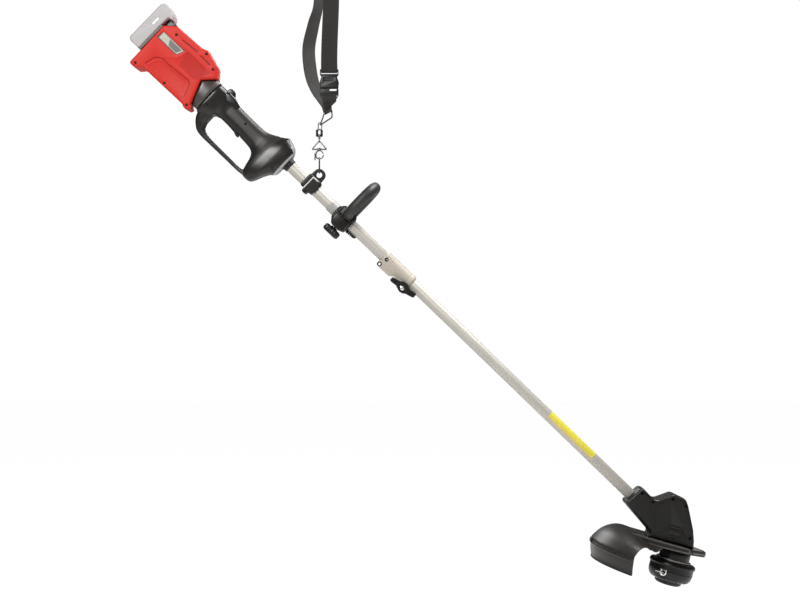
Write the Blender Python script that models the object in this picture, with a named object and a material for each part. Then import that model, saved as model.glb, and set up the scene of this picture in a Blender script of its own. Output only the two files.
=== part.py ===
"""Cordless brush cutter, hanging from its shoulder strap by the eye of its harness clamp.

Lengths are in metres. The world's origin is where the strap's loop is held, +Z is up, +X is
towards the cutting head and +Y is to the left of a person who looks along the tool.
Shaft coordinates have x along the shaft from the harness eye, z square to it and y across.
Head coordinates have z along the motor's spindle and x straight ahead over the guard.
"""

import math

import bmesh
import bpy
from mathutils import Vector

# Clearances
SEAT_GAP = 0.0003
RUN_GAP = 0.0004
HALF_GAP = 0.00015

# How the tool hangs
SHAFT_SLOPE = math.radians(44)
HEAD_TURN = math.radians(29)
HANG_DROP = 0.660

# Shaft
TUBE_RADIUS = 0.013
TUBE_WALL = 0.0013
SHELL_WALL = 0.0026

# Stations along the shaft, from the harness eye
HANDLE_FRONT = -0.075
HANDLE_LENGTH = 0.237
TUBE_TUCK = 0.080
NECK_LENGTH = 0.041
HOUSING_LENGTH = 0.1454
SPACER_START = 0.063
LOOP_STATION = 0.1115
BRACKET_STATION = 0.1078
COUPLER_START = 0.238
COUPLER_LENGTH = 0.102
LOWER_TUBE_LENGTH = 0.698

# Harness clamp and hook chain
EYE_RADIUS = 0.0067
EYE_HEIGHT = 0.0320
EYE_BACK = 0.0030
EYE_PLATE_RADIUS = 0.0140
EYE_PLATE_THICKNESS = 0.0060
CLAMP_LENGTH = 0.0375
CLAMP_BACK = 0.0042
CLAMP_HALF_WIDTH = 0.0185
WIRE_RADIUS = 0.0014
LINK_LENGTH = 0.040
LINK_HALF_WIDTH = 0.0075

# Red rear housing
HOUSING_REAR_HALF = 0.041
HOUSING_FRONT_HALF = 0.034
HOUSING_EDGE = 0.0045
SCREW_WELL_RADIUS = 0.0031
SCREW_WELL_DEPTH = 0.014

# Controller in the housing: length, half width, lowest and highest
CONTROLLER_SIZE = (0.1080, 0.0225, -0.0400, 0.0180)
FIN_GAPS = 7
REAR_LEAN = 0.0018
FIN_PITCH = 0.0060

# Battery pack
PACK_THICKNESS = 0.0340
PACK_HALF_WIDTH = 0.037
PACK_LOW = -0.0480
PACK_HIGH = 0.0718
CELL_RADIUS = 0.0092
CELL_LENGTH = 0.065
CELL_COUNT = 5
CELL_PITCH = 0.0193
CELL_TRAY_HALF = 0.0290
RAIL_THICKNESS = 0.0045

# Rear handle
GRIP_HALF_WIDTH = 0.0185
LOOP_BAR_HALF_WIDTH = 0.0130
TRIGGER_HALF_WIDTH = 0.0080
FERRULE_RADIUS = 0.0155

# Front loop handle
LOOP_BAR_RADIUS = 0.0127
LOOP_HALF_SPREAD = 0.062
LOOP_HEIGHT = 0.1005
BRACKET_LENGTH = 0.0490
KNOB_RADIUS = 0.0215
KNOB_THICKNESS = 0.0170
BOLT_RADIUS = 0.0030

# Coupling
SLEEVE_RADIUS = 0.0172
WING_SPAN = 0.068
WING_THICKNESS = 0.0085
WING_CLEARANCE = 0.0010
BUTTON_RADIUS = 0.0042

# Head
HEAD_REACH = 0.1600
HEAD_RISE = 0.0051
HEAD_HALF_WIDTH = 0.0350
SPINDLE_RADIUS = 0.0040
STATOR_RADIUS = 0.0190
STATOR_HEIGHT = 0.026

# Guard
GUARD_RADIUS = 0.200
GUARD_SHEET = 0.0024
GUARD_SPREAD = math.radians(52)
GUARD_STEPS = 18
GUARD_DROP = 0.0417
CHEEK_FALL = 0.026
SKIRT_DEPTH = 0.038
DECK_HALF_WIDTH = 0.055
DECK_FRONT = 0.063
DECK_THICKNESS = 0.0040

# Cutting head
SPINDLE_BACK = 0.0035
SPOOL_RADIUS = 0.0535
NECK_RADIUS = 0.0355
SPOOL_TOP = -0.0140
SPOOL_SPLIT = -0.0620
SPOOL_BOTTOM = -0.0850
BUMP_RADIUS = 0.0315
BUMP_BOTTOM = -0.0955
LINE_RADIUS = 0.0012
LINE_STUB = 0.022

# Strap
WEB_WIDTH = 0.038
WEB_THICKNESS = 0.0018
BUCKLE_HALF_WIDTH = 0.0215
BUCKLE_THICKNESS = 0.0120


def clear_scene():
    for old in list(bpy.data.objects):
        bpy.data.objects.remove(old, do_unlink=True)


def finish(name, colour, roughness, metallic=0.0):
    """A plain material of one colour."""
    material = bpy.data.materials.new(name)
    material.use_nodes = True
    shader = material.node_tree.nodes["Principled BSDF"]
    shader.inputs["Base Color"].default_value = (*colour, 1)
    shader.inputs["Roughness"].default_value = roughness
    shader.inputs["Metallic"].default_value = metallic
    return material


# Outlines

def turn_of(a, b, c):
    return (b[0] - a[0]) * (c[1] - b[1]) - (b[1] - a[1]) * (c[0] - b[0])


def anticlockwise(corners):
    area = sum(a[0] * b[1] - b[0] * a[1] for a, b in zip(corners, corners[1:] + corners[:1]))
    return corners if area > 0 else corners[::-1]


def offset_corners(corners, inset):
    """Corners (a, b, radius) moved inwards by inset, with each edge kept parallel."""
    moved = []
    count = len(corners)
    for i, corner in enumerate(corners):
        before, after = corners[i - 1], corners[(i + 1) % count]
        e0 = Vector((corner[0] - before[0], corner[1] - before[1])).normalized()
        e1 = Vector((after[0] - corner[0], after[1] - corner[1])).normalized()
        n0, n1 = Vector((-e0.y, e0.x)), Vector((-e1.y, e1.x))
        spread = max(1 + n0.dot(n1), 0.3)
        shift = (n0 + n1) * (inset / spread)
        convex = turn_of(before, corner, after) > 0
        radius = corner[2] - inset if convex else corner[2] + inset
        moved.append((corner[0] + shift.x, corner[1] + shift.y, max(radius, 0.0002)))
    return moved


def filleted(corners, steps=2):
    """The outline's points, each corner (a, b, radius) rounded by an arc of that radius."""
    points = []
    count = len(corners)
    for i, corner in enumerate(corners):
        here = Vector(corner[:2])
        back = Vector(corners[i - 1][:2]) - here
        ahead = Vector(corners[(i + 1) % count][:2]) - here
        half = back.angle(ahead) / 2
        if half > math.radians(88):
            points.append(here)
            continue
        reach = min(corner[2] / math.tan(half), back.length * 0.49, ahead.length * 0.49)
        start, end = here + back.normalized() * reach, here + ahead.normalized() * reach
        radius = reach * math.tan(half)
        centre = here + (back.normalized() + ahead.normalized()).normalized() * (radius / math.sin(half))
        a0 = math.atan2(*(start - centre).yx)
        sweep = math.atan2(*(end - centre).yx) - a0
        sweep = (sweep + math.pi) % (2 * math.pi) - math.pi
        for k in range(steps + 1):
            angle = a0 + sweep * k / steps
            points.append(centre + Vector((math.cos(angle), math.sin(angle))) * radius)
    return points


def box_corners(a0, b0, a1, b1, radius=0.001):
    return [(a0, b0, radius), (a1, b0, radius), (a1, b1, radius), (a0, b1, radius)]


def disc_corners(radius, sides=24, centre=(0.0, 0.0)):
    """A circle as a list of points."""
    return [
        Vector((
            centre[0] + radius * math.cos(2 * math.pi * k / sides),
            centre[1] + radius * math.sin(2 * math.pi * k / sides),
        ))
        for k in range(sides)
    ]


def smooth_path(points, steps):
    """Points along a smooth curve through the given ones; each may hold any number of values."""
    path = []
    last = len(points) - 1
    for i in range(last):
        p0, p1 = Vector(points[max(i - 1, 0)]), Vector(points[i])
        p2, p3 = Vector(points[i + 1]), Vector(points[min(i + 2, last)])
        for k in range(steps):
            t = k / steps
            path.append(
                p1
                + (p2 - p0) * (0.5 * t)
                + (p0 * 2 - p1 * 5 + p2 * 4 - p3) * (0.5 * t * t)
                + (p1 * 3 - p0 - p2 * 3 + p3) * (0.5 * t * t * t)
            )
    path.append(Vector(points[last]))
    return path


# Solids

PLANES = {
    "XZ": lambda a, b, c: Vector((a, c, b)),
    "XY": lambda a, b, c: Vector((a, b, c)),
    "YZ": lambda a, b, c: Vector((c, a, b)),
}


class Frame:
    """A place on the tool: the empty that carries the pieces, and where its axis lies."""

    def __init__(self, name, parent, place=(0, 0, 0), turn=0.0):
        self.empty = bpy.data.objects.new(name, None)
        self.empty.empty_display_size = 0.02
        bpy.context.collection.objects.link(self.empty)
        self.empty.location = place
        self.empty.rotation_euler = (0, turn, 0)
        self.shift = Vector((0, 0, 0))
        if parent:
            self.empty.parent = parent.empty
            self.empty.location = Vector(place) - parent.shift


def pivot(name, parent, place):
    """A frame whose origin lies on a joint's axis, while its pieces keep the parent's coordinates."""
    frame = Frame(name, parent, place)
    frame.shift = Vector(place)
    return frame


def add(name, rings, frame, material=None, closed=False, cutter=False):
    """One solid from rings of points, each joined to the next and the ends capped or joined."""
    mesh = bpy.data.meshes.new(name)
    work = bmesh.new()
    rows = [[work.verts.new(point) for point in ring] for ring in rings]
    count = len(rows[0])
    pairs = list(zip(rows, rows[1:]))
    if closed:
        pairs.append((rows[-1], rows[0]))
    for one, two in pairs:
        for i in range(count):
            j = (i + 1) % count
            work.faces.new((one[i], one[j], two[j], two[i]))
    if not closed:
        work.faces.new(rows[0][::-1])
        work.faces.new(rows[-1])
    bmesh.ops.recalc_face_normals(work, faces=work.faces)
    work.to_mesh(mesh)
    work.free()
    mesh.shade_smooth()
    mesh.set_sharp_from_angle(angle=math.radians(32))
    piece = bpy.data.objects.new(name, mesh)
    bpy.context.collection.objects.link(piece)
    piece.parent = frame.empty
    piece.location = -frame.shift
    if material:
        mesh.materials.append(material)
    if cutter:
        piece.hide_render = True
        piece.display_type = "WIRE"
    return piece


def combine(piece, other, operation):
    """A Boolean of the piece with a hidden one."""
    step = piece.modifiers.new(operation.lower(), "BOOLEAN")
    step.operation = operation
    step.solver = "EXACT"
    step.object = other
    other.hide_render = True
    other.display_type = "WIRE"


def cut(piece, *others):
    for other in others:
        combine(piece, other, "DIFFERENCE")


def join(piece, *others):
    for other in others:
        combine(piece, other, "UNION")


def prism_rings(outline, low, high, plane="XZ"):
    return [[PLANES[plane](*point, level) for point in outline] for level in (low, high)]


def prism(name, corners, low, high, frame, material=None, plane="XZ", steps=2, cutter=False):
    """An outline with rounded corners, carried straight along the third axis."""
    outline = filleted(anticlockwise(corners), steps)
    return add(name, prism_rings(outline, low, high, plane), frame, material, cutter=cutter)


def block(name, low, high, frame, material=None, cutter=False):
    """A box with rounded upright edges."""
    edge = min(high[0] - low[0], high[2] - low[2]) * 0.08
    corners = box_corners(low[0], low[2], high[0], high[2], edge)
    return prism(name, corners, low[1], high[1], frame, material, steps=1, cutter=cutter)


def crown_rings(corners, levels, plane="XZ", steps=2):
    """Rings of one outline: each level is (height, inset)."""
    corners = anticlockwise(corners)
    return [
        [PLANES[plane](*point, height) for point in filleted(offset_corners(corners, inset), steps)]
        for height, inset in levels
    ]


def lathe_rings(profile, axis="Z", centre=(0, 0, 0), sides=24):
    """Rings turned round an axis: each profile point is (radius, place along the axis)."""
    spin = {
        "X": lambda r, a, t: Vector((a, r * math.cos(t), r * math.sin(t))),
        "Y": lambda r, a, t: Vector((r * math.sin(t), a, r * math.cos(t))),
        "Z": lambda r, a, t: Vector((r * math.cos(t), r * math.sin(t), a)),
    }[axis]
    return [
        [Vector(centre) + spin(radius, along, 2 * math.pi * (k + 0.5) / sides) for k in range(sides)]
        for radius, along in profile
    ]


def turned(name, profile, frame, material=None, axis="Z", centre=(0, 0, 0), sides=24,
           bored=False, cutter=False):
    """A turned piece; a bored one has a profile that closes on itself round the hole."""
    rings = lathe_rings(profile, axis, centre, sides)
    return add(name, rings, frame, material, closed=bored, cutter=cutter)


def pipe(name, low, high, outer, inner, frame, material=None, axis="X", centre=(0, 0, 0), sides=24):
    profile = [(inner, low), (outer, low), (outer, high), (inner, high)]
    return turned(name, profile, frame, material, axis, centre, sides, bored=True)


def rod(name, low, high, radius, frame, material=None, axis="Y", centre=(0, 0, 0), sides=20,
        cutter=False):
    profile = [(radius, low), (radius, high)]
    return turned(name, profile, frame, material, axis, centre, sides, cutter=cutter)


def tube_rings(path, radius, sides=12, closed=False, across=None):
    """Round rings along a path, each square to it, turned as little as possible from one to the next."""
    count = len(path)
    rings = []
    side = Vector(across) if across else None
    for i, point in enumerate(path):
        before = path[i - 1] if closed or i else point
        after = path[(i + 1) % count] if closed or i < count - 1 else point
        ahead = (Vector(after) - Vector(before)).normalized()
        if side is None:
            side = ahead.orthogonal()
        side = (side - ahead * side.dot(ahead)).normalized()
        other = ahead.cross(side)
        rings.append([
            Vector(point) + (side * math.cos(2 * math.pi * k / sides)
                             + other * math.sin(2 * math.pi * k / sides)) * radius
            for k in range(sides)
        ])
    return rings


def squared_ring(centre_y, low, high, x, half_width, power, sides=18):
    """A rounded section across the shaft; power 2 is an ellipse and more is squarer."""
    middle, half = (low + high) / 2, (high - low) / 2
    ring = []
    for k in range(sides):
        angle = 2 * math.pi * (k + 0.5) / sides
        c, s = math.cos(angle), math.sin(angle)
        y = math.copysign(abs(c) ** (2 / power), c) * half_width
        z = math.copysign(abs(s) ** (2 / power), s) * half
        ring.append(Vector((x, centre_y + y, middle + z)))
    return ring


def half_space(name, side, frame):
    """A large block on one side of the middle plane, to cut a body down to its other half."""
    low, high = (-HALF_GAP, 1.0) if side < 0 else (-1.0, HALF_GAP)
    return block(name, (-2.0, low, -1.0), (2.0, high, 1.0), frame, cutter=True)


# Strap, buckle and strap ring

RING_BAR = Vector((0.0197, 0.0, 0.1435 - HANG_DROP))
RING_BAR_HALF = 0.0190
RING_SHOULDER = 0.0075
GATHERED_WIDTH = 0.0300
GATHER_START = RING_BAR.z + 0.0545
RING_BAR_WAY = Vector((0.43, 0.83, 0.34)).normalized()
RING_WIRE = 0.0017
RING_HEIGHT = 0.030
BUCKLE_FOOT = RING_BAR.z + 0.0280
BUCKLE_SPLIT = BUCKLE_FOOT + 0.0245
BUCKLE_TOP = BUCKLE_SPLIT + 0.0440
BUCKLE_PLACE = (0.0237, -0.0150)
BAR_RADIUS = 0.0020


def wrap(centre, across, up, radius, start, end, steps=8):
    """Points round a bar, from one angle to another; 0 points across and 90 up."""
    return [
        centre + (across * math.cos(math.radians(start + (end - start) * k / steps))
                  + up * math.sin(math.radians(start + (end - start) * k / steps))) * radius
        for k in range(steps + 1)
    ]


def strap_route():
    """The webbing's middle line and the way its width points, from the buckle round to the buckle."""
    fold = BAR_RADIUS * 1.45 + SEAT_GAP + WEB_THICKNESS / 2
    level, upright = Vector((1, 0, 0)), Vector((0, 0, 1))
    near, far = Vector((0, -1, 0)), Vector((0, 1, 0))
    top_bar = Vector((BUCKLE_PLACE[0], BUCKLE_PLACE[1], BUCKLE_TOP - BAR_RADIUS - 0.002))
    low_bar = Vector((BUCKLE_PLACE[0], BUCKLE_PLACE[1], BUCKLE_FOOT + BAR_RADIUS + 0.002))
    ring_fold = RING_WIRE + SEAT_GAP * 2 + WEB_THICKNESS / 2
    side = RING_BAR_WAY.cross(upright).normalized()
    rise = side.cross(RING_BAR_WAY).normalized()
    route = [(top_bar + far * fold + upright * rise_of, level) for rise_of in (0.016, 0.006)]
    route += [(point, level) for point in wrap(top_bar, far, upright, fold, 0, -180)]
    free = [
        (top_bar + near * fold + upright * 0.018, 4),
        ((0.0247, -0.022, BUCKLE_TOP + 0.0600), 10),
        ((0.0288, -0.028, -0.3883 * HANG_DROP), 14),
        ((0.0284, -0.032, -0.2424 * HANG_DROP), 10),
        ((0.0200, -0.032, -0.1136 * HANG_DROP), 4),
        ((0.0090, -0.024, -0.0190), 0),
        ((0.0025, -0.012, -0.0045), 0),
        ((0.0000, 0.000, -0.0012), 0),
        ((-0.0020, 0.012, -0.0045), 0),
        ((-0.0035, 0.024, -0.0190), 0),
        ((-0.0068, 0.034, -0.1212 * HANG_DROP), 12),
        ((-0.0038, 0.040, -0.2500 * HANG_DROP), 42),
        ((-0.0043, 0.042, -0.3883 * HANG_DROP), 56),
        ((-0.0160, 0.040, -0.4661 * HANG_DROP), 48),
        ((-0.0262, 0.034, RING_BAR.z + 0.1565), 42),
        ((-0.0240, 0.026, RING_BAR.z + 0.1115), 38),
        ((-0.0160, 0.018, RING_BAR.z + 0.0715), 40),
        ((-0.0010, 0.011, RING_BAR.z + 0.0335), 52),
    ]
    for value in smooth_path([(*point, yaw) for point, yaw in free], 3):
        yaw = math.radians(value[3])
        route.append((Vector(value[:3]), Vector((math.cos(yaw), math.sin(yaw), 0))))
    start = RING_BAR - side * ring_fold + rise * 0.011
    route.append((start, RING_BAR_WAY))
    route += [(point, RING_BAR_WAY) for point in wrap(RING_BAR, side, rise, ring_fold, 180, 360)]
    foot = low_bar + near * fold
    leave = RING_BAR + side * ring_fold + rise * 0.007
    route.append((leave, RING_BAR_WAY))
    below = foot - upright * 0.0105
    for share, turn in ((0.5, 0.45), (1.0, 0.9)):
        lift = near * (0.002 * (1 - share))
        route.append((leave.lerp(below, share) + lift, RING_BAR_WAY.lerp(level, turn).normalized()))
    route.append((foot - upright * 0.0050, level))
    route += [(point, level) for point in wrap(low_bar, near, upright, fold, 0, 180)]
    route.append((low_bar + far * fold - upright * 0.010, level))
    return route


def make_webbing(frame, fabric):
    route = strap_route()
    rings = []
    length = 0.0
    for i, (point, way) in enumerate(route):
        before, after = route[max(i - 1, 0)][0], route[min(i + 1, len(route) - 1)][0]
        length += (point - route[max(i - 1, 0)][0]).length
        ahead = (after - before).normalized()
        way = (way - ahead * way.dot(ahead)).normalized()
        flat = ahead.cross(way)
        low = min(max((GATHER_START - point.z) / 0.045, 0), 1)
        near_bar = min(max((0.030 - abs(point.x - RING_BAR.x)) / 0.010, 0), 1)
        width = WEB_WIDTH + (GATHERED_WIDTH - WEB_WIDTH) * low * near_bar
        a, b = way * (width / 2), flat * (WEB_THICKNESS / 2)
        rings.append([point - a - b, point + a - b, point + a + b, point - a + b])
    print(f"webbing {length:.3f} m long")
    return add("strap_webbing", rings, frame, fabric)


def make_buckle(frame, plastic):
    x, y = BUCKLE_PLACE
    near, far = y - BUCKLE_THICKNESS / 2, y + BUCKLE_THICKNESS / 2
    half = BUCKLE_HALF_WIDTH
    slot = WEB_WIDTH / 2 + 0.0006
    waist = BUCKLE_TOP - 0.013
    edge = [
        (half, BUCKLE_TOP, 0.002), (half, waist, 0.002), (half - 0.004, waist - 0.004, 0.002),
        (half, waist - 0.012, 0.006), (half, BUCKLE_SPLIT, 0.002),
    ]
    socket = prism("buckle_socket", [(x - a, b, r) for a, b, r in edge]
                   + [(x + a, b, r) for a, b, r in edge[::-1]], near, far, frame, plastic)
    bar = BUCKLE_TOP - BAR_RADIUS * 2 - 0.002
    opening = prism("socket_slot", box_corners(x - slot, bar - 0.0065, x + slot, bar, 0.001),
                    near - 0.01, far + 0.01, frame, cutter=True)
    strip = box_corners(x - slot, bar - 0.001, x + slot, BUCKLE_TOP + 0.01, 0.0005)
    rebate = prism("socket_rebate", strip, near - 0.01, y - BAR_RADIUS, frame, cutter=True)
    back_rebate = prism("socket_back_rebate", strip, y + BAR_RADIUS, far + 0.01, frame, cutter=True)
    mouth = prism("socket_mouth", box_corners(
        x - 0.0165, BUCKLE_SPLIT - 0.01, x + 0.0165, BUCKLE_SPLIT + 0.0225, 0.002,
    ), y - 0.0040, y + 0.0040, frame, cutter=True)
    windows = [
        prism(f"socket_window_{name}", box_corners(
            x + side * (half + 0.01), BUCKLE_SPLIT + 0.0035, x + side * 0.0125, BUCKLE_SPLIT + 0.0210, 0.002,
        ), near + 0.0020, far - 0.0020, frame, cutter=True)
        for name, side in (("left", -1), ("right", 1))
    ]
    cut(socket, opening, rebate, back_rebate, mouth, *windows)
    top = BUCKLE_SPLIT - SEAT_GAP
    edge = [
        (0.0055, BUCKLE_SPLIT + 0.0200, 0.0015), (0.0055, top, 0.001), (half, top, 0.0015),
        (half, BUCKLE_FOOT + 0.006, 0.003), (half - 0.004, BUCKLE_FOOT, 0.003),
    ]
    plug = prism("buckle_plug", [(x - a, b, r) for a, b, r in edge]
                 + [(x + a, b, r) for a, b, r in edge[::-1]], y - 0.0036, y + 0.0036, frame, plastic)
    bar = BUCKLE_FOOT + BAR_RADIUS * 2 + 0.002
    slot_low = prism("plug_slot", box_corners(x - slot, bar, x + slot, bar + 0.0055, 0.001),
                     near - 0.01, far + 0.01, frame, cutter=True)
    strip = box_corners(x - slot, BUCKLE_FOOT - 0.01, x + slot, bar + 0.001, 0.0005)
    rebates = [
        prism(f"plug_rebate_{name}", strip, low, high, frame, cutter=True)
        for name, low, high in (("near", near - 0.01, y - BAR_RADIUS), ("far", y + BAR_RADIUS, far + 0.01))
    ]
    window = prism("plug_window", box_corners(
        x + 0.0004, BUCKLE_SPLIT - 0.0068, x + 0.0175, BUCKLE_SPLIT - 0.0012, 0.0015,
    ), near - 0.01, far + 0.01, frame, cutter=True)
    cut(plug, slot_low, window, *rebates)
    for name, side in (("left", -1), ("right", 1)):
        slide = pivot(f"prong_{name}_slide", frame, (x + side * half, y, BUCKLE_SPLIT + 0.0120))
        edge = [
            (0.0095, 0.0045, 0.001), (0.0130, 0.0045, 0.001), (half + 0.0006, 0.0075, 0.002),
            (half + 0.0010, 0.0140, 0.003), (half - 0.0030, 0.0195, 0.002), (0.0095, 0.0195, 0.001),
        ]
        prism(f"buckle_prong_{name}", [(x + side * a, BUCKLE_SPLIT + b, r) for a, b, r in edge],
              y - 0.0034, y + 0.0034, slide, plastic)


def make_strap_ring(frame, steel):
    """A wire triangle: its base lies in the webbing's fold and its point carries the swivel."""
    point = CHAIN_TOP
    a = RING_BAR - RING_BAR_WAY * RING_BAR_HALF
    b = RING_BAR + RING_BAR_WAY * RING_BAR_HALF
    drop = (point - RING_BAR) - RING_BAR_WAY * (point - RING_BAR).dot(RING_BAR_WAY)
    drop = drop.normalized() * RING_SHOULDER
    corners = [a, b, b + drop, point, a + drop]
    path = []
    for i, corner in enumerate(corners):
        back, ahead = corners[i - 1], corners[(i + 1) % len(corners)]
        reach = 0.0028
        start = corner + (back - corner).normalized() * reach
        end = corner + (ahead - corner).normalized() * reach
        for k in range(5):
            t = k / 4
            path.append(start * (1 - t) ** 2 + corner * (2 * t * (1 - t)) + end * t * t)
    add("strap_ring", tube_rings(path, RING_WIRE, 8, closed=True), frame, steel, closed=True)


# Hook chain, down the line through the origin

CHAIN_TOP = Vector((0.0015, 0.0, RING_BAR.z - 0.0315))
SWIVEL_TOP = CHAIN_TOP.z - 0.0090
SWIVEL_LOW = SWIVEL_TOP - 0.0190
LINK_BASE = SWIVEL_LOW - 0.0285
SNAP_CENTRE = LINK_BASE - 0.0080
SNAP_RADIUS = 0.0092
SNAP_WIRE = 0.0016


def make_swivel(frame, steel):
    """A small open frame of two bars, with an eye on top for the strap ring."""
    outer = prism("swivel_frame", box_corners(-0.0070, SWIVEL_LOW, 0.0070, SWIVEL_TOP, 0.0022),
                  -0.0030, 0.0030, frame, steel)
    window = prism("swivel_window", box_corners(
        -0.0040, SWIVEL_LOW + 0.0030, 0.0040, SWIVEL_TOP - 0.0030, 0.001,
    ), -0.01, 0.01, frame, cutter=True)
    hole = rod("swivel_hole", SWIVEL_LOW - 0.01, SWIVEL_LOW + 0.01, 0.0016 + RUN_GAP, frame, axis="Z",
               sides=16, cutter=True)
    x, z = CHAIN_TOP.x, CHAIN_TOP.z
    lug = prism("swivel_lug", [
        (-0.0036, SWIVEL_TOP - 0.001, 0.0005), (0.0044, SWIVEL_TOP - 0.001, 0.0005),
        (x + 0.0070, z + 0.0005, 0.0040), (x + 0.0058, z + 0.0078, 0.0045),
        (x - 0.0048, z + 0.0078, 0.0045), (x - 0.0062, z + 0.0005, 0.0040),
    ], -0.0014, 0.0014, frame)
    eye = rod("swivel_eye", -0.01, 0.01, RING_WIRE + 0.0025, frame,
              centre=(x + 0.0010, 0, z + 0.0021), sides=20, cutter=True)
    join(outer, lug)
    cut(outer, window, hole, eye)


def make_hook(frame, gate_frame, steel):
    """The turning half: headed pin, triangular link, round snap hook, gate and the narrow link."""
    head = SWIVEL_LOW + 0.0030 + SEAT_GAP
    pin = turned("swivel_pin", [
        (0.0033, head + 0.0030), (0.0033, head), (0.0016, head), (0.0016, SWIVEL_LOW - 0.0010),
        (0.0028, SWIVEL_LOW - 0.0022), (0.0028, SWIVEL_LOW - 0.0050),
    ], frame, steel, sides=16)
    eye = (0, 0, SWIVEL_LOW - 0.0080)
    boss = rod("pin_boss", -0.0012, 0.0012, 0.0050, frame, axis="X", centre=eye, sides=16, cutter=True)
    hole = rod("pin_hole", -0.01, 0.01, 0.0034, frame, axis="X", centre=eye, sides=16, cutter=True)
    join(pin, boss)
    cut(pin, hole)
    top = Vector((0, 0, eye[2] + 0.0004))
    corners = [top, Vector((0.0165, 0, LINK_BASE)), Vector((-0.0165, 0, LINK_BASE))]
    path = []
    for i, corner in enumerate(corners):
        reach = 0.0035
        start = corner + (corners[i - 1] - corner).normalized() * reach
        end = corner + (corners[(i + 1) % 3] - corner).normalized() * reach
        for k in range(5):
            t = k / 4
            path.append(start * (1 - t) ** 2 + corner * (2 * t * (1 - t)) + end * t * t)
    add("triangle_link", tube_rings(path, WIRE_RADIUS, 8, closed=True), frame, steel, closed=True)
    make_snap(frame, gate_frame, steel)


def arc_path(centre, across, radius, start, end, steps):
    """Points of an upright arc, its angles in degrees from the level way across."""
    turns = [math.radians(start + (end - start) * k / steps) for k in range(steps + 1)]
    return [centre + (across * math.cos(turn) + Vector((0, 0, math.sin(turn)))) * radius for turn in turns]


def make_snap(frame, gate_frame, steel):
    """A round hook with a gap on its right side, closed by a gate that swings inwards."""
    eyelet = pipe("snap_hook", -0.0030, 0.0030, WIRE_RADIUS + 0.0026, WIRE_RADIUS + SEAT_GAP, frame, steel,
                  axis="X", centre=(0, 0, LINK_BASE), sides=16)
    middle = Vector((0, 0, SNAP_CENTRE - 0.0045))
    path = arc_path(middle, Vector((1, 0, 0)), SNAP_RADIUS, 96, 358, 20)
    hoop = add("snap_hoop", tube_rings(path, SNAP_WIRE, 8, across=(0, 1, 0)), frame, cutter=True)
    join(eyelet, hoop)
    gate = arc_path(middle, Vector((1, 0, 0)), SNAP_RADIUS, 12, 70, 6)
    add("snap_gate", tube_rings(gate, SNAP_WIRE * 0.85, 8, across=(0, 1, 0)), gate_frame, steel)
    low = -HANG_DROP
    high = middle.z - SNAP_RADIUS + SNAP_WIRE + WIRE_RADIUS + SEAT_GAP
    path = []
    for level, start in ((low + LINK_HALF_WIDTH, 180), (high - LINK_HALF_WIDTH, 0)):
        path += arc_path(Vector((0, 0, level)), Vector((0, 1, 0)), LINK_HALF_WIDTH, start, start + 180, 8)
    add("hook_link", tube_rings(path, WIRE_RADIUS, 8, closed=True), frame, steel, closed=True)


# Battery and rear housing

def housing_rear():
    return HANDLE_FRONT - HANDLE_LENGTH - NECK_LENGTH - HOUSING_LENGTH


def housing_taper(points_x):
    """The half width of the housing at a station."""
    rear, front = housing_rear(), HANDLE_FRONT - HANDLE_LENGTH - 0.013
    t = min(max((points_x - rear) / (front - rear), 0), 1)
    return HOUSING_REAR_HALF + (HOUSING_FRONT_HALF - HOUSING_REAR_HALF) * t


def tapered(rings):
    """Rings whose y is scaled to the housing's half width at their station."""
    return [
        [Vector((p.x, p.y * housing_taper(p.x) / HOUSING_REAR_HALF, p.z)) for p in ring]
        for ring in rings
    ]


def housing_corners():
    """The red housing seen from the side, with its V-shaped front edge and its screw lugs."""
    rear = housing_rear()
    return [
        (rear + 0.0020, -0.0880, 0.004), (rear + 0.0215, -0.0855, 0.005), (rear + 0.0335, -0.0727, 0.004),
        (rear + 0.1530, -0.0706, 0.003), (rear + 0.1630, -0.0745, 0.004), (rear + 0.1750, -0.0715, 0.004),
        (rear + 0.1785, -0.0620, 0.003), (rear + 0.1700, -0.0570, 0.003), (rear + 0.1495, -0.0006, 0.003),
        (rear + 0.1745, 0.0272, 0.003), (rear + 0.1560, 0.0482, 0.006), (rear + 0.1140, 0.0606, 0.004),
        (rear + 0.1020, 0.0550, 0.004), (rear + 0.0250, 0.0512, 0.005), (rear, 0.0298, 0.004),
    ]


SCREW_PLACES = [(0.0140, -0.0770), (0.0376, 0.0351), (0.1174, 0.0512), (0.1529, 0.0362),
                (0.0940, -0.0625), (0.1655, -0.0650)]


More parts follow.
